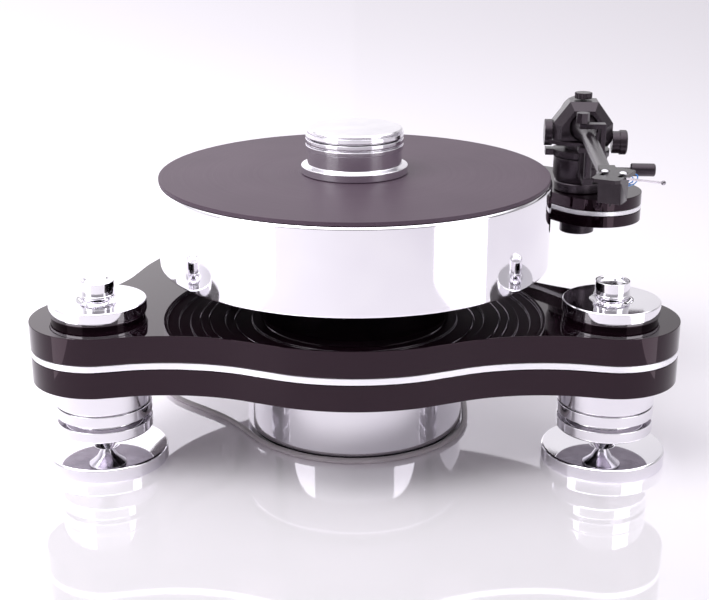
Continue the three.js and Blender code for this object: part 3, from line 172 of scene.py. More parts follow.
LEAD = Finish("lead_jacket", (0.48, 0.43, 0.465), (0.56, 0.505, 0.54), 0.0, (0.34, 0.48),
              Grain.SPECKLE, 0.5 * MM, 25 * MM, 0.02 * MM)
STEEL = Finish("bright_metal", (0.78, 0.77, 0.8), (0.66, 0.65, 0.69), 1.0, (0.06, 0.16),
               Grain.ROUND, 0.15 * MM, 6 * MM, 0.01 * MM)
BRASS = Finish("turned_bronze", (0.66, 0.46, 0.2), (0.55, 0.37, 0.15), 1.0, (0.16, 0.3),
               Grain.ROUND, 0.2 * MM, 15 * MM, 0.02 * MM)
BLUE_WIRE = Finish("blue_insulation", (0.03, 0.2, 0.62), (0.05, 0.27, 0.7), 0.0, (0.3, 0.42),
                   Grain.SPECKLE, 0.2 * MM, 3 * MM, 0.01 * MM)


def link(tree: Tree, source: Socket, target: Socket) -> None:
    """Joins an output socket to an input socket."""
    tree.links.new(source, target)


def ring_place(tree: Tree, place: Socket) -> Socket:
    """Coordinates that change only away from and along the piece's own axis.

    Args:
        tree: the node tree.
        place: socket with the object coordinates.

    Returns:
        A socket with (distance from the axis, height, 0).
    """
    parts = tree.nodes.new("ShaderNodeSeparateXYZ")
    link(tree, place, parts.inputs[0])
    flat = tree.nodes.new("ShaderNodeCombineXYZ")
    link(tree, parts.outputs["X"], flat.inputs["X"])
    link(tree, parts.outputs["Y"], flat.inputs["Y"])
    distance = tree.nodes.new("ShaderNodeVectorMath")
    distance.operation = "LENGTH"
    link(tree, flat.outputs[0], distance.inputs[0])
    ring = tree.nodes.new("ShaderNodeCombineXYZ")
    link(tree, distance.outputs["Value"], ring.inputs["X"])
    link(tree, parts.outputs["Z"], ring.inputs["Y"])
    return ring.outputs[0]


def noise(tree: Tree, place: Socket, size: float, detail: float) -> Socket:
    """A noise texture of a given size.

    Args:
        tree: the node tree.
        place: coordinate socket.
        size: size of the marks.
        detail: octaves of finer noise.

    Returns:
        The noise's value socket.
    """
    texture = tree.nodes.new("ShaderNodeTexNoise")
    texture.inputs["Scale"].default_value = 1 / size
    texture.inputs["Detail"].default_value = detail
    link(tree, place, texture.inputs["Vector"])
    return texture.outputs["Fac"]


def mapped(tree: Tree, value: Socket, start: float, end: float, low: float = 0.0, high: float = 1.0) -> Socket:
    """A value taken from one range to another, and held at the ends.

    Args:
        tree: the node tree.
        value: the value's socket.
        start: where the first range starts.
        end: where it ends.
        low: result at the start.
        high: result at the end.

    Returns:
        The result's socket.
    """
    node = tree.nodes.new("ShaderNodeMapRange")
    node.inputs["From Min"].default_value = start
    node.inputs["From Max"].default_value = end
    node.inputs["To Min"].default_value = low
    node.inputs["To Max"].default_value = high
    link(tree, value, node.inputs["Value"])
    return node.outputs[0]


def mixed(tree: Tree, factor: Socket, first: Colour | Socket, second: Colour | Socket) -> Socket:
    """Two colours mixed.

    Args:
        tree: the node tree.
        factor: socket that is 0 for the first colour and 1 for the second.
        first: a linear colour, or a socket.
        second: a linear colour, or a socket.

    Returns:
        The mixed colour's socket.
    """
    node = tree.nodes.new("ShaderNodeMix")
    node.data_type = "RGBA"
    link(tree, factor, node.inputs["Factor"])
    for name, colour in (("A", first), ("B", second)):
        if isinstance(colour, tuple):
            node.inputs[name].default_value = (*colour, 1)
        else:
            link(tree, colour, node.inputs[name])
    return node.outputs["Result"]


def material(finish: Finish) -> bpy.types.Material:
    """The material of a finish, made once.

    Args:
        finish: the finish to make.

    Returns:
        The material, with its marks from noise in the piece's own coordinates.
    """
    made = bpy.data.materials.get(finish.name)
    if made:
        return made
    made = bpy.data.materials.new(finish.name)
    made.use_nodes = True
    tree = made.node_tree
    shader = tree.nodes["Principled BSDF"]
    shader.inputs["Metallic"].default_value = finish.metallic
    shader.inputs["Specular IOR Level"].default_value = finish.specular
    shader.inputs["Specular Tint"].default_value = (*finish.tint, 1)
    place = tree.nodes.new("ShaderNodeTexCoord").outputs["Object"]
    marks_at = ring_place(tree, place) if finish.grain is Grain.ROUND else place
    marks = noise(tree, marks_at, finish.mark, MARK_OCTAVES)
    drift = mapped(tree, noise(tree, place, finish.drift, DRIFT_OCTAVES), NOISE_LOW, NOISE_HIGH)
    link(tree, mixed(tree, drift, finish.colour, finish.shade), shader.inputs["Base Color"])
    link(tree, mapped(tree, marks, NOISE_LOW, NOISE_HIGH, *finish.gloss), shader.inputs["Roughness"])
    bump = tree.nodes.new("ShaderNodeBump")
    bump.inputs["Distance"].default_value = finish.depth
    link(tree, marks, bump.inputs["Height"])
    link(tree, bump.outputs["Normal"], shader.inputs["Normal"])
    return made


def new_piece(name: str, mesh: bpy.types.Mesh, finish: Finish) -> bpy.types.Object:
    """A scene object with a mesh and a finish.

    Args:
        name: the piece's name.
        mesh: its mesh.
        finish: its finish.

    Returns:
        The object, linked to the scene.
    """
    piece = bpy.data.objects.new(name, mesh)
    bpy.context.scene.collection.objects.link(piece)
    mesh.materials.clear()
    mesh.materials.append(material(finish))
    return piece


def rounded(profile: list[Flat], edge: float, closed: bool) -> list[Flat]:
    """A profile with its sharp corners rounded, and with points close to each rounding.

    Args:
        profile: corners as (distance from the axis, height).
        edge: size of the rounding.
        closed: whether the last corner joins the first one.

    Returns:
        The denser profile.
    """
    made: list[Flat] = []
    count = len(profile)
    for i, corner in enumerate(profile):
        if not closed and i in (0, count - 1):
            made.append(corner)
            continue
        here = Vector(corner)
        before = Vector(profile[i - 1]) - here
        after = Vector(profile[(i + 1) % count]) - here
        if before.angle(-after) < math.radians(ROUNDED_DEGREES):
            made.append(corner)
            continue
        size = min(edge, ROUNDING_SHARE * before.length, ROUNDING_SHARE * after.length)
        back = before.normalized() * size
        onward = after.normalized() * size
        made.append(tuple(here + back * ROUNDING_LEAD))
        for step in range(ROUNDING_STEPS + 1):
            t = step / ROUNDING_STEPS
            made.append(tuple((here + back) * (1 - t) ** 2 + here * 2 * t * (1 - t) + (here + onward) * t ** 2))
        made.append(tuple(here + onward * ROUNDING_LEAD))
    return made


def turned_mesh(name: str, profile: list[Flat], closed: bool, steps: int) -> bpy.types.Mesh:
    """The mesh of a profile turned about the local Z axis.

    Args:
        name: the mesh's name.
        profile: points as (distance from the axis, height).
        closed: whether the profile closes on itself.
        steps: flats round the axis.

    Returns:
        A closed, smooth-shaded mesh whose sharp corners stay sharp.
    """
    shape = bmesh.new()
    rings = []
    for r, z in profile:
        if r < AT_CENTRE:
            rings.append([shape.verts.new((0, 0, z))] * steps)
            continue
        turns = [2 * math.pi * k / steps for k in range(steps)]
        rings.append([shape.verts.new((r * math.cos(turn), r * math.sin(turn), z)) for turn in turns])
    pairs = list(zip(rings, rings[1:] + (rings[:1] if closed else [])))
    for low, high in pairs:
        for k in range(steps):
            around = [low[k], low[(k + 1) % steps], high[(k + 1) % steps], high[k]]
            corners = list(dict.fromkeys(around))
            if len(corners) > 2:
                shape.faces.new(corners)
    bmesh.ops.recalc_face_normals(shape, faces=shape.faces)
    mesh = bpy.data.meshes.new(name)
    shape.to_mesh(mesh)
    shape.free()
    smooth(mesh, SHARP_DEGREES)
    return mesh


def volume(mesh: bpy.types.Mesh) -> float:
    """The volume that a closed mesh holds.

    Args:
        mesh: the mesh.

    Returns:
        The volume in cubic metres.
    """
    shape = bmesh.new()
    shape.from_mesh(mesh)
    held = shape.calc_volume()
    shape.free()
    return held


def smooth(mesh: bpy.types.Mesh, sharp_degrees: float) -> None:
    """Shades a mesh smooth, apart from edges over an angle."""
    mesh.shade_smooth()
    mesh.set_sharp_from_angle(angle=math.radians(sharp_degrees))


def finish_below(piece: bpy.types.Object, finish: Finish) -> None:
    """Gives the faces of an upright piece that look straight down a finish of their own.

    Args:
        piece: the piece.
        finish: the finish of those faces.
    """
    piece.data.materials.append(material(finish))
    for face in piece.data.polygons:
        if face.normal.z < DOWNWARD:
            face.material_index = 1


def axis_matrix(centre: Vector, axis: Vector) -> Matrix:
    """The place of a turned piece whose own Z axis lies along an axis through a point."""
    return Matrix.Translation(centre) @ axis.to_track_quat("Z", "Y").to_matrix().to_4x4()


def meridian(node: bpy.types.Object, place: Matrix) -> tuple[list[Flat], bool]:
    """The profile of a turned CAD node, read from one of its meridians.

    Args:
        node: the CAD node.
        place: the turned piece's place.

    Returns:
        The profile's corners in order, and whether it closes on itself.
    """
    back = place.inverted()
    local = [back @ v.co for v in node.data.vertices]
    away = [math.hypot(p.x, p.y) for p in local]
    around = [math.atan2(p.y, p.x) for p, r in zip(local, away) if r > ON_AXIS]
    turns = Counter(round(turn, TURN_DIGITS) for turn in around)
    angle = turns.most_common(1)[0][0]
    keys: dict[int, Flat] = {}
    for i, (p, r) in enumerate(zip(local, away)):
        off = abs(math.remainder(math.atan2(p.y, p.x) - angle, 2 * math.pi))
        if r < ON_AXIS or off < SAME_TURN:
            keys[i] = (0.0 if r < ON_AXIS else round(r, DIGITS), round(p.z, DIGITS))
    near = defaultdict(set)
    for edge in node.data.edges:
        a, b = edge.vertices
        if a in keys and b in keys and keys[a] != keys[b] and max(keys[a][0], keys[b][0]) > 0:
            near[keys[a]].add(keys[b])
            near[keys[b]].add(keys[a])
    bridge(near)
    return walk(near)


def bridge(near: dict[Flat, set[Flat]]) -> None:
    """Joins the loose ends of a profile across flat faces, to each other or to the axis.

    Args:
        near: each point's neighbours, which this changes.
    """
    levels = defaultdict(list)
    for point in sorted(near):
        if len(near[point]) == 1 and point[0] > 0:
            levels[point[1]].append(point)
    for z, loose in levels.items():
        for a, b in zip(loose[-2::-2], loose[::-2]):
            near[a].add(b)
            near[b].add(a)
        if len(loose) % 2:
            near[loose[0]].add((0.0, z))
            near[(0.0, z)].add(loose[0])


def walk(near: dict[Flat, set[Flat]]) -> tuple[list[Flat], bool]:
    """The longest way through the points of a profile.

    Args:
        near: each point's neighbours.

    Returns:
        The points in order, and whether the last one meets the first.
    """
    ends = sorted(p for p in near if p[0] == 0.0)
    start = ends[0] if ends else min(near, key=lambda p: (p[1], p[0]))
    way = [start]
    seen = {start}
    while True:
        ahead = [p for p in near[way[-1]] if p not in seen]
        if not ahead:
            break
        step = min(ahead, key=lambda p: math.dist(p, way[-1]))
        way.append(step)
        seen.add(step)
    return way, not ends


class Dressing:
    """Makes pieces from the frame and says what they ride on and stand for."""

    def __init__(self, frame: dict) -> None:
        """Keeps the frame and each node's body and slot.
        """
        self.nodes = frame["nodes"]
        record = frame["record"]
        self.body_of = {n: body for body, members in record["behaviour"]["bodies"].items() for n in members}
        self.slot_of = {row["node"]: row["material_slot"] for row in record["subparts"]}

    def middle(self, node: str) -> Vector:
        """The middle of a node's box."""
        low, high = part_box(node)
        return (Vector(low) + Vector(high)) / 2

    def stand_for(self, piece: bpy.types.Object, node: str) -> bpy.types.Object:
        """Makes a piece ride with a node's body and stand for it.

        Args:
            piece: the new piece.
            node: the CAD node's name.

        Returns:
            The piece.
        """
        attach(piece, self.body_of[node])
        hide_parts(node)
        self.slot_of[node]
        log.info("%s stands for %s: %d faces", piece.name, node, len(piece.data.polygons))
        return piece

    def end_middle(self, node: str, axis: Vector) -> Vector:
        """The middle of the far end face of a turned node.

        Args:
            node: the CAD node's name.
            axis: the direction of its axis.

        Returns:
            The point where the axis leaves the node.
        """
        piece = self.nodes[node]
        places = [piece.matrix_world @ corner.co for corner in piece.data.vertices]
        apart = {tuple(round(v, DIGITS) for v in place) for place in places}
        points = [Vector(place) for place in sorted(apart)]
        last = max(point.dot(axis) for point in points)
        end = [point for point in points if point.dot(axis) > last - ON_AXIS]
        return sum(end, Vector()) / len(end)

    def turned(self, node: str, finish: Finish, edge: float = 0.4 * MM, steps: int = 96,
               centre: Vector | None = None, axis: Vector = UP) -> bpy.types.Object:
        """A smooth turned piece in the place of a turned node.

        Args:
            node: the CAD node's name.
            finish: the piece's finish.
            edge: rounding of its corners.
            steps: flats round the axis.
            centre: a point on the axis, or None for the middle of the node's box.
            axis: the axis's direction.

        Returns:
            The piece.
        """
        place = axis_matrix(self.middle(node) if centre is None else centre, axis)
        corners, closed = meridian(self.nodes[node], place)
        return self.lathe(node, finish, rounded(corners, edge, closed), closed, steps, place)

    def lathe(self, node: str, finish: Finish, profile: list[Flat], closed: bool, steps: int,
              place: Matrix) -> bpy.types.Object:
        """A piece turned from a profile, in the place of a node.

        Args:
            node: the CAD node's name.
            finish: the piece's finish.
            profile: points as (distance from the axis, height).
            closed: whether the profile closes on itself.
            steps: flats round the axis.
            place: the piece's place.

        Returns:
            The piece.
        """
        mesh = turned_mesh(node + "_smooth", profile, closed, steps)
        piece = new_piece(node + "_smooth", mesh, finish)
        piece.matrix_world = place
        log.info("%s: %.4f of its CAD volume", node, volume(mesh) / volume(self.nodes[node].data))
        return self.stand_for(piece, node)

    def dressed(self, node: str, finish: Finish, edge: float) -> bpy.types.Object:
        """A CAD node that stays, with a better finish and softened edges.

        Args:
            node: the CAD node's name.
            finish: its finish.
            edge: width of the bevel on its edges, or 0 for none.

        Returns:
            The CAD node.
        """
        piece = self.nodes[node]
        piece.data.materials.clear()
        piece.data.materials.append(material(finish))
        if edge:
            weld = piece.modifiers.new("weld", "WELD")
            weld.merge_threshold = WELD_REACH
            bevel = piece.modifiers.new("bevel", "BEVEL")
            bevel.width = edge
            bevel.segments = BEVEL_SEGMENTS
            bevel.angle_limit = math.radians(BEVELLED_DEGREES)
        log.info("%s keeps its CAD shape", node)
        return piece

    def slab(self, node: str, finish: Finish, edge: float, name: str, level: float, bottom: float,
             top: float) -> bpy.types.Object:
        """A smooth plate cut to the outline that a node has at one level.

        Args:
            node: the CAD node's name.
            finish: the piece's finish.
            edge: bevel on its edges.
            name: the piece's name.
            level: height at which the node's outlines are read.
            bottom: the plate's lowest height.
            top: its highest height.

        Returns:
            The piece.
        """
        curve = bpy.data.curves.new(name, "CURVE")
        curve.dimensions = "2D"
        curve.fill_mode = "BOTH"
        for loop in level_loops(self.nodes[node], level):
            points = smooth_loop(loop)
            spline = curve.splines.new("POLY")
            spline.points.add(len(points) - 1)
            spline.use_cyclic_u = True
            for point, (x, y) in zip(spline.points, points):
                point.co = (x, y, 0, 1)
        curve.extrude = (top - bottom) / 2 - edge
        curve.bevel_depth = edge
        curve.bevel_resolution = 1
        curve.offset = -edge
        draft = bpy.data.objects.new(name + "_draft", curve)
        bpy.context.scene.collection.objects.link(draft)
        bpy.context.view_layer.update()
        mesh = bpy.data.meshes.new_from_object(draft.evaluated_get(bpy.context.evaluated_depsgraph_get()))
        bpy.data.objects.remove(draft)
        mesh.name = name
        mesh.transform(Matrix.Translation((0, 0, (top + bottom) / 2)))
        smooth(mesh, PLATE_SHARP_DEGREES)
        return self.stand_for(new_piece(name, mesh, finish), node)

    def pins(self, name: str, node: str, profile: list[Flat], places: list[Matrix], origin: Matrix) -> None:
        """One piece of equal small turned pins that rides with a node.

        Args:
            name: the piece's name.
            node: the CAD node that holds the pins.
            profile: one pin's profile.
            places: each pin's place in the piece.
            origin: the piece's place.
        """
        pin = turned_mesh(name + "_pin", profile, False, PIN_STEPS)
        shape = bmesh.new()
        for place in places:
            copy = pin.copy()
            copy.transform(place)
            shape.from_mesh(copy)
            bpy.data.meshes.remove(copy)
        mesh = bpy.data.meshes.new(name)
        shape.to_mesh(mesh)
        shape.free()
        bpy.data.meshes.remove(pin)
        piece = new_piece(name, mesh, STEEL)
        piece.matrix_world = origin
        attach(piece, self.body_of[node])
        self.slot_of["headshell_screw_left"]
        log.info("%s: %d pins", name, len(places))


def level_loops(node: bpy.types.Object, level: float) -> list[list[Flat]]:
    """The outlines of a node's flat faces at one level.

    Args:
        node: the CAD node.
        level: the faces' height.

    Returns:
        The closed loops of points.
    """
    mesh = node.data
    sides: dict[tuple[Flat, Flat], int] = defaultdict(int)
    for face in mesh.polygons:
        corners = [mesh.vertices[i].co for i in face.vertices]
        if any(abs(c.z - level) > ON_AXIS for c in corners):
            continue
        flat = [(round(c.x, DIGITS), round(c.y, DIGITS)) for c in corners]
        for a, b in zip(flat, flat[1:] + flat[:1]):
            sides[min(a, b), max(a, b)] += 1
    near = defaultdict(list)
    for (a, b), count in sides.items():
        if count == 1:
            near[a].append(b)
            near[b].append(a)
    loops = []
    left = set(near)
    while left:
        here = min(left)
        loop = []
        while here is not None:
            loop.append(here)
            left.discard(here)
            here = next((p for p in near[here] if p in left), None)
        loops.append(loop)
    return loops


def smooth_loop(loop: list[Flat], share: int = 6) -> list[Flat]:
    """A closed loop with a smooth curve through its points.

    Args:
        loop: the points.
        share: how many pieces each side is cut into.

    Returns:
        The denser loop.
    """
    made = []
    count = len(loop)
    for i in range(count):
        p0, p1, p2, p3 = (Vector(loop[(i + k) % count]) for k in (-1, 0, 1, 2))
        for step in range(share):
            t = step / share
            made.append(tuple(0.5 * (2 * p1 + (p2 - p0) * t + (2 * p0 - 5 * p1 + 4 * p2 - p3) * t ** 2
                                     + (3 * p1 - p0 - 3 * p2 + p3) * t ** 3)))
    return made


@dataclass(frozen=True)
class Chassis:
    """The three-lobed sandwich, its discs, knobs and feet, and the rear post.

    Attributes:
        edge: rounding of the discs, and twice the bevel of the plates.
        foot_edge: rounding of the columns and pads.
        seat_rise: height of the raised seats under the front discs.
        cup_radius: radius of the cup in a pad's top.
        cup_steps: rings of the cup.
        column_steps: flats round a column.
        disc_steps: flats round a disc or a pad.
        lobes: the lobes' names, as in the nodes' names.
    """

    edge: float = 0.8 * MM
    foot_edge: float = 0.6 * MM
    seat_rise: float = 3 * MM
    cup_radius: float = 9 * MM
    cup_steps: int = 6
    column_steps: int = 128
    disc_steps: int = 144
    lobes: tuple[str, ...] = ("right", "left", "rear")

    def cupped(self, corners: list[Flat]) -> list[Flat]:
        """A pad's profile with a level top and a small cup that holds the spike's tip.

        Args:
            corners: the profile's corners, from the foot of the axis up and back to the axis.

        Returns:
            The profile with the top's corners replaced.
        """
        top = max(z for _, z in corners)
        ends = [corner for corner in corners if corner[0] == 0.0]
        low, centre = min(ends, key=lambda c: c[1]), max(ends, key=lambda c: c[1])
        rim = min((c for c in corners if abs(c[1] - top) < ON_AXIS), key=lambda c: c[0])
        outside = [c for c in corners if c[0] >= rim[0] and c != rim]
        wall = sorted(outside, key=lambda c: (c[1], c[0]))
        cup = []
        for step in range(self.cup_steps):
            share = 1 - step / self.cup_steps
            cup.append((self.cup_radius * share, centre[1] + (top - centre[1]) * share ** 2))
        return [low, *wall, *cup, centre]

    def build(self, dress: Dressing) -> None:
        """Makes the chassis.

        Args:
            dress: the maker of pieces.
        """
        for node, finish in (("chassis_lower_plate", ACRYLIC), ("chassis_core_plate", STRIPE)):
            low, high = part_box(node)
            dress.slab(node, finish, self.edge / 2, node + "_smooth", low[2], low[2], high[2])
        upper = "chassis_upper_plate"
        low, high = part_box(upper)
        face = high[2] - self.seat_rise
        dress.slab(upper, ACRYLIC, self.edge / 2, "chassis_upper_smooth", low[2], low[2], face)
        dress.slab(upper, ACRYLIC, self.edge / 4, "disc_seats", high[2], face - self.edge, high[2])
        for lobe in self.lobes:
            column = dress.turned(f"foot_column_{lobe}", POLISHED, self.foot_edge, self.column_steps)
            finish_below(column, BRUSHED)
            node = f"foot_pad_{lobe}"
            place = axis_matrix(dress.middle(node), UP)
            corners, _ = meridian(dress.nodes[node], place)
            profile = rounded(self.cupped(corners), self.foot_edge, False)
            dress.lathe(node, POLISHED, profile, False, self.disc_steps, place)
            dress.turned(f"level_spindle_{lobe}", STEEL, self.edge / 3)
            dress.turned(f"top_disc_{lobe}", POLISHED, self.edge, self.disc_steps)
            dress.turned(f"level_knob_{lobe}", POLISHED, self.edge / 2)
        dress.turned("arm_post", POLISHED, self.edge, self.column_steps)


@dataclass(frozen=True)
class Rotor:
    """The main bearing, the inner platter, the platter with its mat, and the record weight.

    Attributes:
        edge: rounding of the platter, and twice that of the mat and the weight.
        steps: flats round the platter.
        ring_pitch: distance between the grooves in the underside.
        ring_width: width of a groove.
        ring_depth: depth of a groove.
        ring_shape: a groove's corners as shares of its width and depth.
        spindle_steps: flats round the spindle.
        weight_steps: flats round the weight and the inner platter.
    """

    edge: float = 1.1 * MM
    steps: int = 224
    ring_pitch: float = 7 * MM
    ring_width: float = 1.6 * MM
    ring_depth: float = 0.9 * MM
    ring_shape: tuple[Flat, ...] = ((-0.5, 0), (-0.2, 1), (0.2, 1), (0.5, 0))
    spindle_steps: int = 64
    weight_steps: int = 144

    def ringed(self, profile: list[Flat]) -> list[Flat]:
        """The platter's profile with fine turned grooves in its underside.

        Args:
            profile: the closed profile.

        Returns:
            The profile with the grooves added.
        """
        made: list[Flat] = []
        for (r, z), (far, level) in zip(profile, profile[1:] + profile[:1]):
            made.append((r, z))
            if abs(z - level) > ON_AXIS or z > 0 or abs(far - r) < 2 * self.ring_pitch:
                continue
            sense = math.copysign(1, far - r)
            for k in range(1, int(abs(far - r) / self.ring_pitch)):
                at = r + sense * k * self.ring_pitch
                for aside, rise in self.ring_shape:
                    made.append((at + sense * aside * self.ring_width, z + rise * self.ring_depth))
        return made

    def build(self, dress: Dressing) -> None:
        """Makes the pieces that turn.

        Args:
            dress: the maker of pieces.
        """
        dress.turned("bearing_housing", BRASS)
        dress.turned("bearing_spindle", STEEL, steps=self.spindle_steps)
        dress.turned("inner_platter", ANODISED, steps=self.weight_steps)
        place = axis_matrix(dress.middle("platter"), UP)
        corners, closed = meridian(dress.nodes["platter"], place)
        profile = self.ringed(rounded(corners, self.edge, closed))
        finish_below(dress.lathe("platter", POLISHED, profile, closed, self.steps, place), MAT)
        dress.turned("platter_mat", MAT, self.edge / 2, self.steps)
        for node in ("record_weight_body", "record_weight_cap"):
            dress.turned(node, TURNED, self.edge / 2, self.weight_steps)


@dataclass(frozen=True)
class MotorUnit:
    """The free-standing motor unit with its pulley and belt.

    Attributes:
        edge: rounding of its corners.
        wall: thickness of the housing's wall.
        floor: thickness of the housing's floor.
        shell_steps: flats round the housing.
        pad_steps: flats round the pad.
        gland_steps: flats round the lead's gland.
    """

    edge: float = 0.8 * MM
    wall: float = 4 * MM
    floor: float = 5 * MM
    shell_steps: int = 192
    pad_steps: int = 128
    gland_steps: int = 48

    def shell(self) -> list[Flat]:
        """The profile of the open-topped housing.

        Returns:
            The corners as (distance from the axis, height).
        """
        low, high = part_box("motor_housing")
        radius = high[0]
        return [(0.0, low[2]), (radius, low[2]), (radius, high[2]), (radius - self.wall, high[2]),
                (radius - self.wall, low[2] + self.floor), (0.0, low[2] + self.floor)]

    def build(self, dress: Dressing) -> None:
        """Makes the motor unit.

        Args:
            dress: the maker of pieces.
        """
        profile = rounded(self.shell(), self.edge, False)
        mesh = turned_mesh("motor_housing_smooth", profile, False, self.shell_steps)
        dress.stand_for(new_piece("motor_housing_smooth", mesh, POLISHED), "motor_housing")
        dress.turned("motor_pad", RUBBER, self.edge, self.pad_steps)
        low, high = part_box("motor_lid")
        dress.slab("motor_lid", POLISHED, self.edge / 2, "motor_lid_smooth", low[2], low[2], high[2])
        dress.turned("motor_body", ANODISED, self.edge)
        dress.turned("motor_pulley", STEEL, self.edge / 3)
        dress.dressed("drive_belt", RUBBER, 0)
        dress.turned("lead_gland", RUBBER, self.edge / 2, self.gland_steps, axis=Vector((0, 1, 0)))


@dataclass(frozen=True)
class LeadRoute:
    """The free lead from the motor unit's gland, round the unit and away to its coil and plug.

    Attributes:
        radius: the lead's radius.
        gap: distance between its turns.
        low: height of its axis where it lies on the table.
        coil_x: the coil's middle.
        coil_y: the coil's middle.
        coil_radius: radius of the coil's outer turn.
        pitch: distance from turn to turn.
        layer_turns: turns in each of the coil's two layers.
        steps_per_turn: points in each turn.
        plug_edge: rounding of the plug.
        plug_steps: flats round the plug.
        tube_rounding: Blender's bevel resolution of the lead.
        tube_share: pieces that each part between two points is cut into.
    """

    radius: float = 2.25 * MM
    gap: float = 0.3 * MM
    low: float = 2.3 * MM
    coil_x: float = -86 * MM
    coil_y: float = 222 * MM
    coil_radius: float = 30 * MM
    pitch: float = 5.3 * MM
    layer_turns: int = 2
    steps_per_turn: int = 24
    plug_edge: float = 0.6 * MM
    plug_steps: int = 48
    tube_rounding: int = 4
    tube_share: int = 6

    def run(self) -> list[Vector]:
        """The listed points of the lead from the gland to the coil.

        Returns:
            The points, the same as in the part's source.
        """
        low = self.low / MM
        points = [
            (0, 100.3, 16), (0, 104.8, 16), (2.5, 112, 14.8), (9, 121, 11.6), (20, 128, 7.2),
            (34, 129.5, 3.9), (49, 125, low), (63, 115, low), (75, 101, low), (83, 83, low), (88, 63, low),
            (90.5, 42, low), (90.5, 20, low), (89.5, 0, low), (87, -20, low), (80.5, -39, low),
            (69.5, -56.5, low), (55, -70.5, low), (38, -81, low), (19.5, -87.3, low), (0, -89.4, low),
            (-19.5, -87.3, low), (-38, -81, low), (-55, -70.5, low), (-69.5, -57, low), (-81, -41, low),
            (-92, -24, low), (-106, -7, low), (-122, 8, low), (-138, 22, low), (-152, 38, low),
            (-161, 57, low), (-164, 79, low), (-160, 101, low), (-149, 121, low), (-134, 138, low),
            (-121, 155, low), (-115, 175, low), (-115.6, 196, low),
        ]
        return [Vector(p) * MM for p in points]

    def coil(self) -> list[Vector]:
        """The coil's points: two turns in, a climb in the half turn between, two turns out.

        Returns:
            The points.
        """
        made = []
        total = 2 * self.layer_turns
        for i in range(total * self.steps_per_turn + 1):
            t = i / self.steps_per_turn
            radius = self.coil_radius - self.pitch * (self.layer_turns - abs(t - self.layer_turns))
            climb = min(1.0, max(0.0, 2 * (t - self.layer_turns) + 0.5))
            angle = math.pi - 2 * math.pi * t
            made.append(Vector((self.coil_x + radius * math.cos(angle), self.coil_y + radius * math.sin(angle),
                                self.low + climb * 2 * (self.radius + self.gap))))
        return made

    def tail(self) -> list[Vector]:
        """The listed points of the lead from the coil to its plug."""
        points = [(-115.5, 240, 6.9), (-113, 252, 6), (-106, 262, 5), (-96, 268, 5), (-90, 269.6, 5),
                  (-84, 270, 5)]
        return [Vector(p) * MM for p in points]

    def build(self, dress: Dressing) -> None:
        """Makes the lead and its plug.

        Args:
            dress: the maker of pieces.
        """
        points = self.run() + self.coil() + self.tail()
        curve = bpy.data.curves.new("lead", "CURVE")
        curve.dimensions = "3D"
        curve.bevel_depth = self.radius
        curve.bevel_resolution = self.tube_rounding
        curve.resolution_u = self.tube_share
        curve.use_fill_caps = True
        spline = curve.splines.new("BEZIER")
        spline.bezier_points.add(len(points) - 1)
        for knot, place in zip(spline.bezier_points, points):
            knot.co = place
            knot.handle_left_type = "AUTO"
            knot.handle_right_type = "AUTO"
        lead = bpy.data.objects.new("lead", curve)
        bpy.context.scene.collection.objects.link(lead)
        curve.materials.append(material(LEAD))
        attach(lead, dress.body_of["lead_run"])
        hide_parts("lead_run", "lead_coil", "lead_tail")
        dress.slot_of["lead_run"]
        plug = dress.turned("lead_plug", RUBBER, self.plug_edge, self.plug_steps, axis=Vector((1, 0, 0)))
        length = sum((b - a).length for a, b in zip(points, points[1:]))
        log.info("the lead is %.3f m long", length)
        tuple(points[0])


@dataclass(frozen=True)
class ArmBoard:
    """The curved sandwich board that carries the tonearm.

    Attributes:
        edge: rounding of the nut and collar, and twice the bevel of the plates.
    """

    edge: float = 0.8 * MM

    def build(self, dress: Dressing) -> None:
        """Makes the board.

        Args:
            dress: the maker of pieces.
        """
        for node, finish in (("arm_board_lower", ACRYLIC), ("arm_board_core", STRIPE),
                             ("arm_board_upper", ACRYLIC)):
            low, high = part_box(node)
            dress.slab(node, finish, self.edge / 2, node + "_smooth", low[2], low[2], high[2])
        dress.turned("arm_board_nut", ANODISED, self.edge)
        dress.turned("arm_base_collar", ANODISED, self.edge)


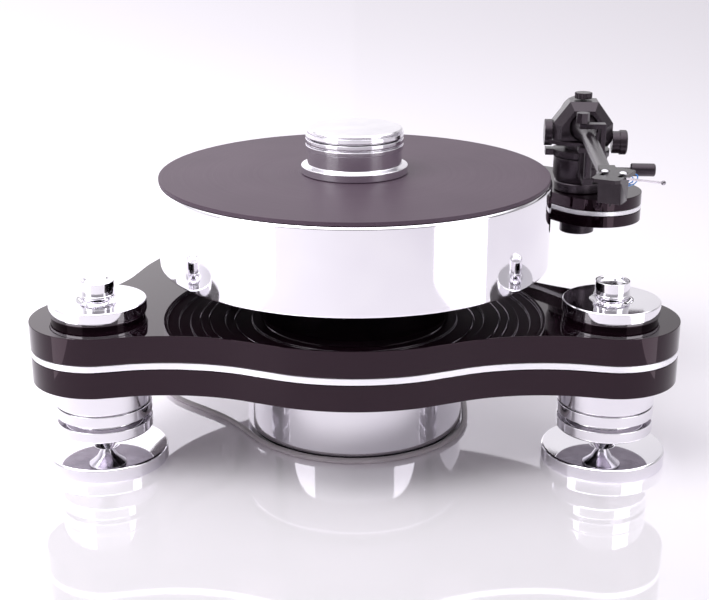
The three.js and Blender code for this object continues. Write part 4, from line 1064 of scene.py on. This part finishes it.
@dataclass(frozen=True)
class Tonearm:
    """The pillar, the bearing housing and the arm with its headshell.

    Attributes:
        edge: rounding of its corners.
        axle_clear: distance from the pivot within which the wand's mesh belongs to its cross axle.
        contacts: silver pins at the cartridge's back.
        contact_radius: radius of such a pin.
        contact_length: how far it stands out.
        contact_shape: its profile as shares of its radius and length.
        contact_reach: from the cartridge's middle to its back.
        contact_pitch: distance between the pins.
        shell_degrees: turn of the headshell from the arm's line.
        dots: bright pins in the side wheel's face.
        dot_circle: radius of the circle that they stand on.
        dot_radius: radius of such a pin.
        dot_height: how far it stands out.
        dot_shape: its profile as shares of its radius and height.
        wand_digits: digits, in metres, to which the wand's rings are read.
        wheel_steps: flats round the wheel, the lever, the cap and the wand.
        weight_steps: flats round the counterweight.
    """

    edge: float = 0.4 * MM
    axle_clear: float = 3 * MM
    contacts: int = 4
    contact_radius: float = 0.6 * MM
    contact_length: float = 4 * MM
    contact_shape: tuple[Flat, ...] = ((0.0, -1.0), (0.7, -1.0), (0.7, 0.0), (1.0, 0.0), (1.0, 0.6), (0.6, 0.9),
                                       (0.0, 1.0))
    contact_reach: float = 9.5 * MM
    contact_pitch: float = 2.2 * MM
    shell_degrees: float = 24.0
    dots: int = 10
    dot_circle: float = 7.3 * MM
    dot_radius: float = 0.75 * MM
    dot_height: float = 0.3 * MM
    dot_shape: tuple[Flat, ...] = ((0.0, -1.0), (1.0, -1.0), (1.0, 0.4), (0.7, 0.85), (0.0, 1.0))
    wand_digits: int = 4
    wheel_steps: int = 64
    weight_steps: int = 96

    def wand_profile(self, dress: Dressing, place: Matrix) -> list[Flat]:
        """The outline of the wand and its stub, read from the corners of the CAD mesh.

        Args:
            dress: the maker of pieces.
            place: the place of the wand's axis.

        Returns:
            Corners as (distance from the axis, height), without the cross axle's.
        """
        wand = dress.nodes["arm_wand"]
        pivot = (place.inverted() @ dress.middle("yaw_housing")).z
        rings: dict[float, set[float]] = {}
        for corner in wand.data.vertices:
            at = place.inverted() @ wand.matrix_world @ corner.co
            if abs(at.z - pivot) > self.axle_clear:
                level = round(at.z, self.wand_digits)
                rings.setdefault(level, set()).add(round(math.hypot(at.x, at.y), self.wand_digits))
        levels = sorted(rings)
        corners = [(0.0, levels[0])]
        for level in levels:
            corners += [(r, level) for r in sorted(rings[level], reverse=level > pivot) if r > 0]
        return corners + [(0.0, levels[-1])]

    def mark_wheel(self, dress: Dressing, side_way: Vector) -> None:
        """Sets a ring of small bright pins in the side wheel's outer face.

        Args:
            dress: the maker of pieces.
            side_way: direction of the wheel's axis, to the right.
        """
        profile = [(r * self.dot_radius, z * self.dot_height) for r, z in self.dot_shape]
        places = []
        for k in range(self.dots):
            turn = 2 * math.pi * k / self.dots
            at = Vector((self.dot_circle * math.cos(turn), self.dot_circle * math.sin(turn), 0))
            places.append(Matrix.Translation(at))
        origin = axis_matrix(dress.end_middle("side_wheel", side_way), side_way)
        dress.pins("wheel_dots", "side_wheel", profile, places, origin)

    def pin_cartridge(self, dress: Dressing, arm_way: Vector, side_way: Vector) -> None:
        """Sets a row of silver pins in the cartridge's back, where the leads end.

        Args:
            dress: the maker of pieces.
            arm_way: direction from the headshell to the counterweight.
            side_way: direction to the right of the arm.
        """
        profile = [(r * self.contact_radius, z * self.contact_length) for r, z in self.contact_shape]
        turn = Matrix.Rotation(math.radians(-self.shell_degrees), 3, "Z")
        out, aside = turn @ arm_way, turn @ side_way
        place = dress.middle("cartridge") + out * self.contact_reach
        place.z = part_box("cartridge_leads")[0][2] + self.contact_radius
        shifts = [(k - (self.contacts - 1) / 2) * self.contact_pitch for k in range(self.contacts)]
        places = [axis_matrix(place + aside * shift, out) for shift in shifts]
        dress.pins("cartridge_pins", "cartridge", profile, places, Matrix.Identity(4))

    def build(self, dress: Dressing, arm_way: Vector, side_way: Vector) -> None:
        """Makes the tonearm.

        Args:
            dress: the maker of pieces.
            arm_way: direction from the headshell to the counterweight.
            side_way: direction of the pitch axis, to the right.
        """
        dress.turned("arm_pillar", ANODISED, self.edge * 2)
        for node in ("arm_platform", "arm_rest", "rest_lock_knob", "yaw_housing", "top_knob"):
            dress.dressed(node, ANODISED, self.edge)
        dress.dressed("headshell", SHELL, self.edge / 2)
        dress.dressed("cartridge", SHELL, self.edge)
        dress.dressed("lift_bar", ANODISED, self.edge / 2)
        dress.dressed("finger_lift", BRUSHED, 0)
        for side in ("left", "right"):
            dress.dressed(f"headshell_screw_{side}", STEEL, 0)
        dress.dressed("cartridge_leads", BLUE_WIRE, 0)
        for node in ("lift_lever", "bearing_cap", "side_wheel"):
            end = dress.end_middle(node, side_way)
            dress.turned(node, ANODISED, self.edge, self.wheel_steps, end, side_way)
        self.mark_wheel(dress, side_way)
        self.pin_cartridge(dress, arm_way, side_way)
        place = axis_matrix(dress.middle("counterweight"), arm_way)
        profile = rounded(self.wand_profile(dress, place), self.edge, False)
        dress.lathe("arm_wand", ANODISED, profile, False, self.wheel_steps, place)
        dress.turned("counterweight", ANODISED, self.edge * 2, self.weight_steps, axis=arm_way)


def area_light(name: str, size: Flat, power: float, place: Place) -> bpy.types.Object:
    """Makes a rectangular area light that shines down.

    Args:
        name: the light's name.
        size: its sides.
        power: its power in watts.
        place: where it stands.

    Returns:
        The light.
    """
    data = bpy.data.lights.new(name, "AREA")
    data.shape = "RECTANGLE"
    data.size, data.size_y = size
    data.energy = power
    light = bpy.data.objects.new(name, data)
    light.location = place
    bpy.context.scene.collection.objects.link(light)
    return light


@dataclass(frozen=True)
class Studio:
    """The camera, the pale glossy floor and the soft white light.

    Attributes:
        focal_pixels: the fitted focal length, in pixels of the photograph.
        frame_pixels: the photograph's width.
        sensor: the camera's sensor width in millimetres.
        clip_end: how far the camera sees.
        camera_place: where it stands.
        pitch_degrees: how far it looks down.
        floor_size: side of the square table.
        white: the light's colour.
        table: the table's diffuse colour.
        table_gloss: the table's mirror colour.
        table_roughness: roughness of the table's mirror image.
        panel_x: distance of each bright panel from the middle.
        panel_y: place of the panels, toward the camera.
        panel_width: their width.
        panel_height: their height.
        panel_power: their power in watts.
        key_place: place of the large light at the upper left.
        key_size: its side.
        key_power: its power in watts.
        overhead_place: place of the light overhead.
        overhead_size: its sides.
        overhead_power: its power in watts.
        bands: what metal mirrors of the surroundings, as (share of a turn from the back, brightness).
        band_green: share of green in the bands.
        wall_levels: the rays' upward share at which the bands start to dim, and at which they are dim.
        wall_dim: share of the bands' brightness that is left there.
        ceiling_levels: the rays' upward share at which the ceiling starts, and at which it alone shows.
        ceiling: brightness of the ceiling in mirrors.
        shade: brightness of the surroundings for diffuse light.
        strength: strength of the whole surroundings.
    """

    focal_pixels: float = 1304.0
    frame_pixels: float = 709.0
    sensor: float = 36.0
    clip_end: float = 100.0
    camera_place: Place = (0.0, -0.9758, 0.4282)
    pitch_degrees: float = 18.624
    floor_size: float = 40.0
    white: Colour = (0.985, 0.975, 1.0)
    table: tuple[float, float, float, float] = (0.87, 0.84, 0.885, 1.0)
    table_gloss: tuple[float, float, float, float] = (0.36, 0.35, 0.37, 1.0)
    table_roughness: float = 0.035
    panel_x: float = 0.41
    panel_y: float = -0.333
    panel_width: float = 0.315
    panel_height: float = 0.45
    panel_power: float = 0.6
    key_place: Place = (-1.1, -0.6, 1.8)
    key_size: float = 1.6
    key_power: float = 27.0
    overhead_place: Place = (0.2, -0.1, 1.7)
    overhead_size: tuple[float, float] = (1.6, 1.0)
    overhead_power: float = 4.0
    bands: tuple[Flat, ...] = ((0.0, 1.15), (0.05, 1.7), (0.16, 1.6), (0.25, 0.9), (0.32, 0.6), (0.42, 0.4),
                               (0.5, 0.34), (0.58, 0.38), (0.68, 0.46), (0.76, 0.55), (0.86, 0.7), (0.95, 0.8),
                               (1.0, 1.1))
    band_green: float = 0.99
    wall_levels: tuple[float, float] = (0.42, 0.5)
    wall_dim: float = 0.5
    ceiling_levels: tuple[float, float] = (0.52, 0.72)
    ceiling: float = 2.2
    shade: float = 0.48
    strength: float = 1.02

    def camera(self) -> None:
        """Makes the camera that the photograph was fitted with."""
        data = bpy.data.cameras.new("camera")
        data.sensor_width = self.sensor
        data.lens = self.focal_pixels * self.sensor / self.frame_pixels
        data.clip_end = self.clip_end
        data.dof.use_dof = False
        camera = bpy.data.objects.new("camera", data)
        camera.location = self.camera_place
        camera.rotation_euler = (math.radians(90 - self.pitch_degrees), 0, 0)
        bpy.context.scene.collection.objects.link(camera)
        bpy.context.scene.camera = camera
        bpy.context.scene.view_settings.view_transform = "Standard"

    def floor(self) -> None:
        """Makes the glossy white table."""
        bpy.ops.mesh.primitive_plane_add(size=self.floor_size, location=(0, 0, 0))
        floor = bpy.context.object
        floor.name = "floor"
        made = bpy.data.materials.new("white_table")
        made.use_nodes = True
        tree = made.node_tree
        shader = tree.nodes["Principled BSDF"]
        shader.inputs["Base Color"].default_value = self.table
        shader.inputs["Roughness"].default_value = 1
        shader.inputs["Specular IOR Level"].default_value = 0
        gloss = tree.nodes.new("ShaderNodeBsdfGlossy")
        gloss.inputs["Color"].default_value = self.table_gloss
        gloss.inputs["Roughness"].default_value = self.table_roughness
        both = tree.nodes.new("ShaderNodeAddShader")
        link(tree, shader.outputs[0], both.inputs[0])
        link(tree, gloss.outputs[0], both.inputs[1])
        link(tree, both.outputs[0], tree.nodes["Material Output"].inputs["Surface"])
        floor.data.materials.append(made)

    def world(self) -> None:
        """Makes the white surroundings, with the soft dark bands that polished metal shows."""
        world = bpy.data.worlds.new("studio")
        bpy.context.scene.world = world
        world.use_nodes = True
        tree = world.node_tree
        background = tree.nodes["Background"]
        way = tree.nodes.new("ShaderNodeTexCoord").outputs["Generated"]
        parts = tree.nodes.new("ShaderNodeSeparateXYZ")
        link(tree, way, parts.inputs[0])
        front = tree.nodes.new("ShaderNodeMath")
        front.operation = "MULTIPLY"
        front.inputs[1].default_value = -1
        link(tree, parts.outputs["Y"], front.inputs[0])
        angle = tree.nodes.new("ShaderNodeMath")
        angle.operation = "ARCTAN2"
        link(tree, parts.outputs["X"], angle.inputs[0])
        link(tree, front.outputs[0], angle.inputs[1])
        ramp = tree.nodes.new("ShaderNodeValToRGB")
        link(tree, mapped(tree, angle.outputs[0], -math.pi, math.pi), ramp.inputs[0])
        while len(ramp.color_ramp.elements) < len(self.bands):
            ramp.color_ramp.elements.new(0.5)
        red, green, blue = self.white
        for element, (place, light) in zip(ramp.color_ramp.elements, self.bands):
            element.position = place
            element.color = (light * red, light * green * self.band_green, light * blue, 1)
        dim = tree.nodes.new("ShaderNodeVectorMath")
        dim.operation = "SCALE"
        link(tree, ramp.outputs["Color"], dim.inputs[0])
        wall = mapped(tree, parts.outputs["Z"], *self.wall_levels, 1.0, self.wall_dim)
        link(tree, wall, dim.inputs["Scale"])
        high = mapped(tree, parts.outputs["Z"], *self.ceiling_levels)
        ceiling = mixed(tree, high, dim.outputs[0], tuple(self.ceiling * share for share in self.white))
        rays = tree.nodes.new("ShaderNodeLightPath")
        shade = tuple(self.shade * share for share in self.white)
        soft = mixed(tree, rays.outputs["Is Camera Ray"], shade, self.white)
        seen = mixed(tree, rays.outputs["Is Glossy Ray"], soft, ceiling)
        link(tree, seen, background.inputs["Color"])
        background.inputs["Strength"].default_value = self.strength

    def panels(self) -> None:
        """Makes the bright upright panels at both sides, which only the turntable mirrors, not the table."""
        lit = bpy.data.collections.new("lit_by_panels")
        for thing in bpy.context.scene.objects:
            if thing.type == "MESH" and thing.name != "floor":
                lit.objects.link(thing)
        for side, name in ((-1, "left_panel"), (1, "right_panel")):
            size = (self.panel_width, self.panel_height)
            panel = area_light(name, size, self.panel_power, (side * self.panel_x, self.panel_y, size[1] / 2))
            panel.rotation_euler = (math.radians(90), 0, side * math.radians(90))
            panel.visible_camera = False
            panel.visible_diffuse = False
            panel.light_linking.receiver_collection = lit

    def key(self) -> None:
        """Makes the large soft light at the upper left, which shades the table on the right."""
        light = area_light("key", (self.key_size, self.key_size), self.key_power, self.key_place)
        light.rotation_euler = Vector(self.key_place).to_track_quat("Z", "Y").to_euler()
        light.visible_camera = False

    def overhead(self) -> None:
        """Makes the broad light overhead."""
        area_light("overhead", self.overhead_size, self.overhead_power, self.overhead_place)

    def build(self) -> None:
        """Makes the table, the surroundings and the lights, once all pieces are there."""
        self.floor()
        self.world()
        self.overhead()
        self.panels()
        self.key()


def main() -> None:
    logging.basicConfig(level=logging.INFO, format="%(message)s")
    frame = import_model()
    studio = Studio()
    studio.camera()
    dress = Dressing(frame)
    LeadRoute().build(dress)
    Chassis().build(dress)
    Rotor().build(dress)
    MotorUnit().build(dress)
    ArmBoard().build(dress)
    joints = {joint["name"]: joint for joint in frame["joints"]}
    arm_way = Vector(joints["counterweight_slide"]["axis"])
    side_way = Vector(joints["lift_lever_turn"]["axis"])
    Tonearm().build(dress, arm_way, side_way)
    studio.build()


if __name__ == "__main__":
    main()
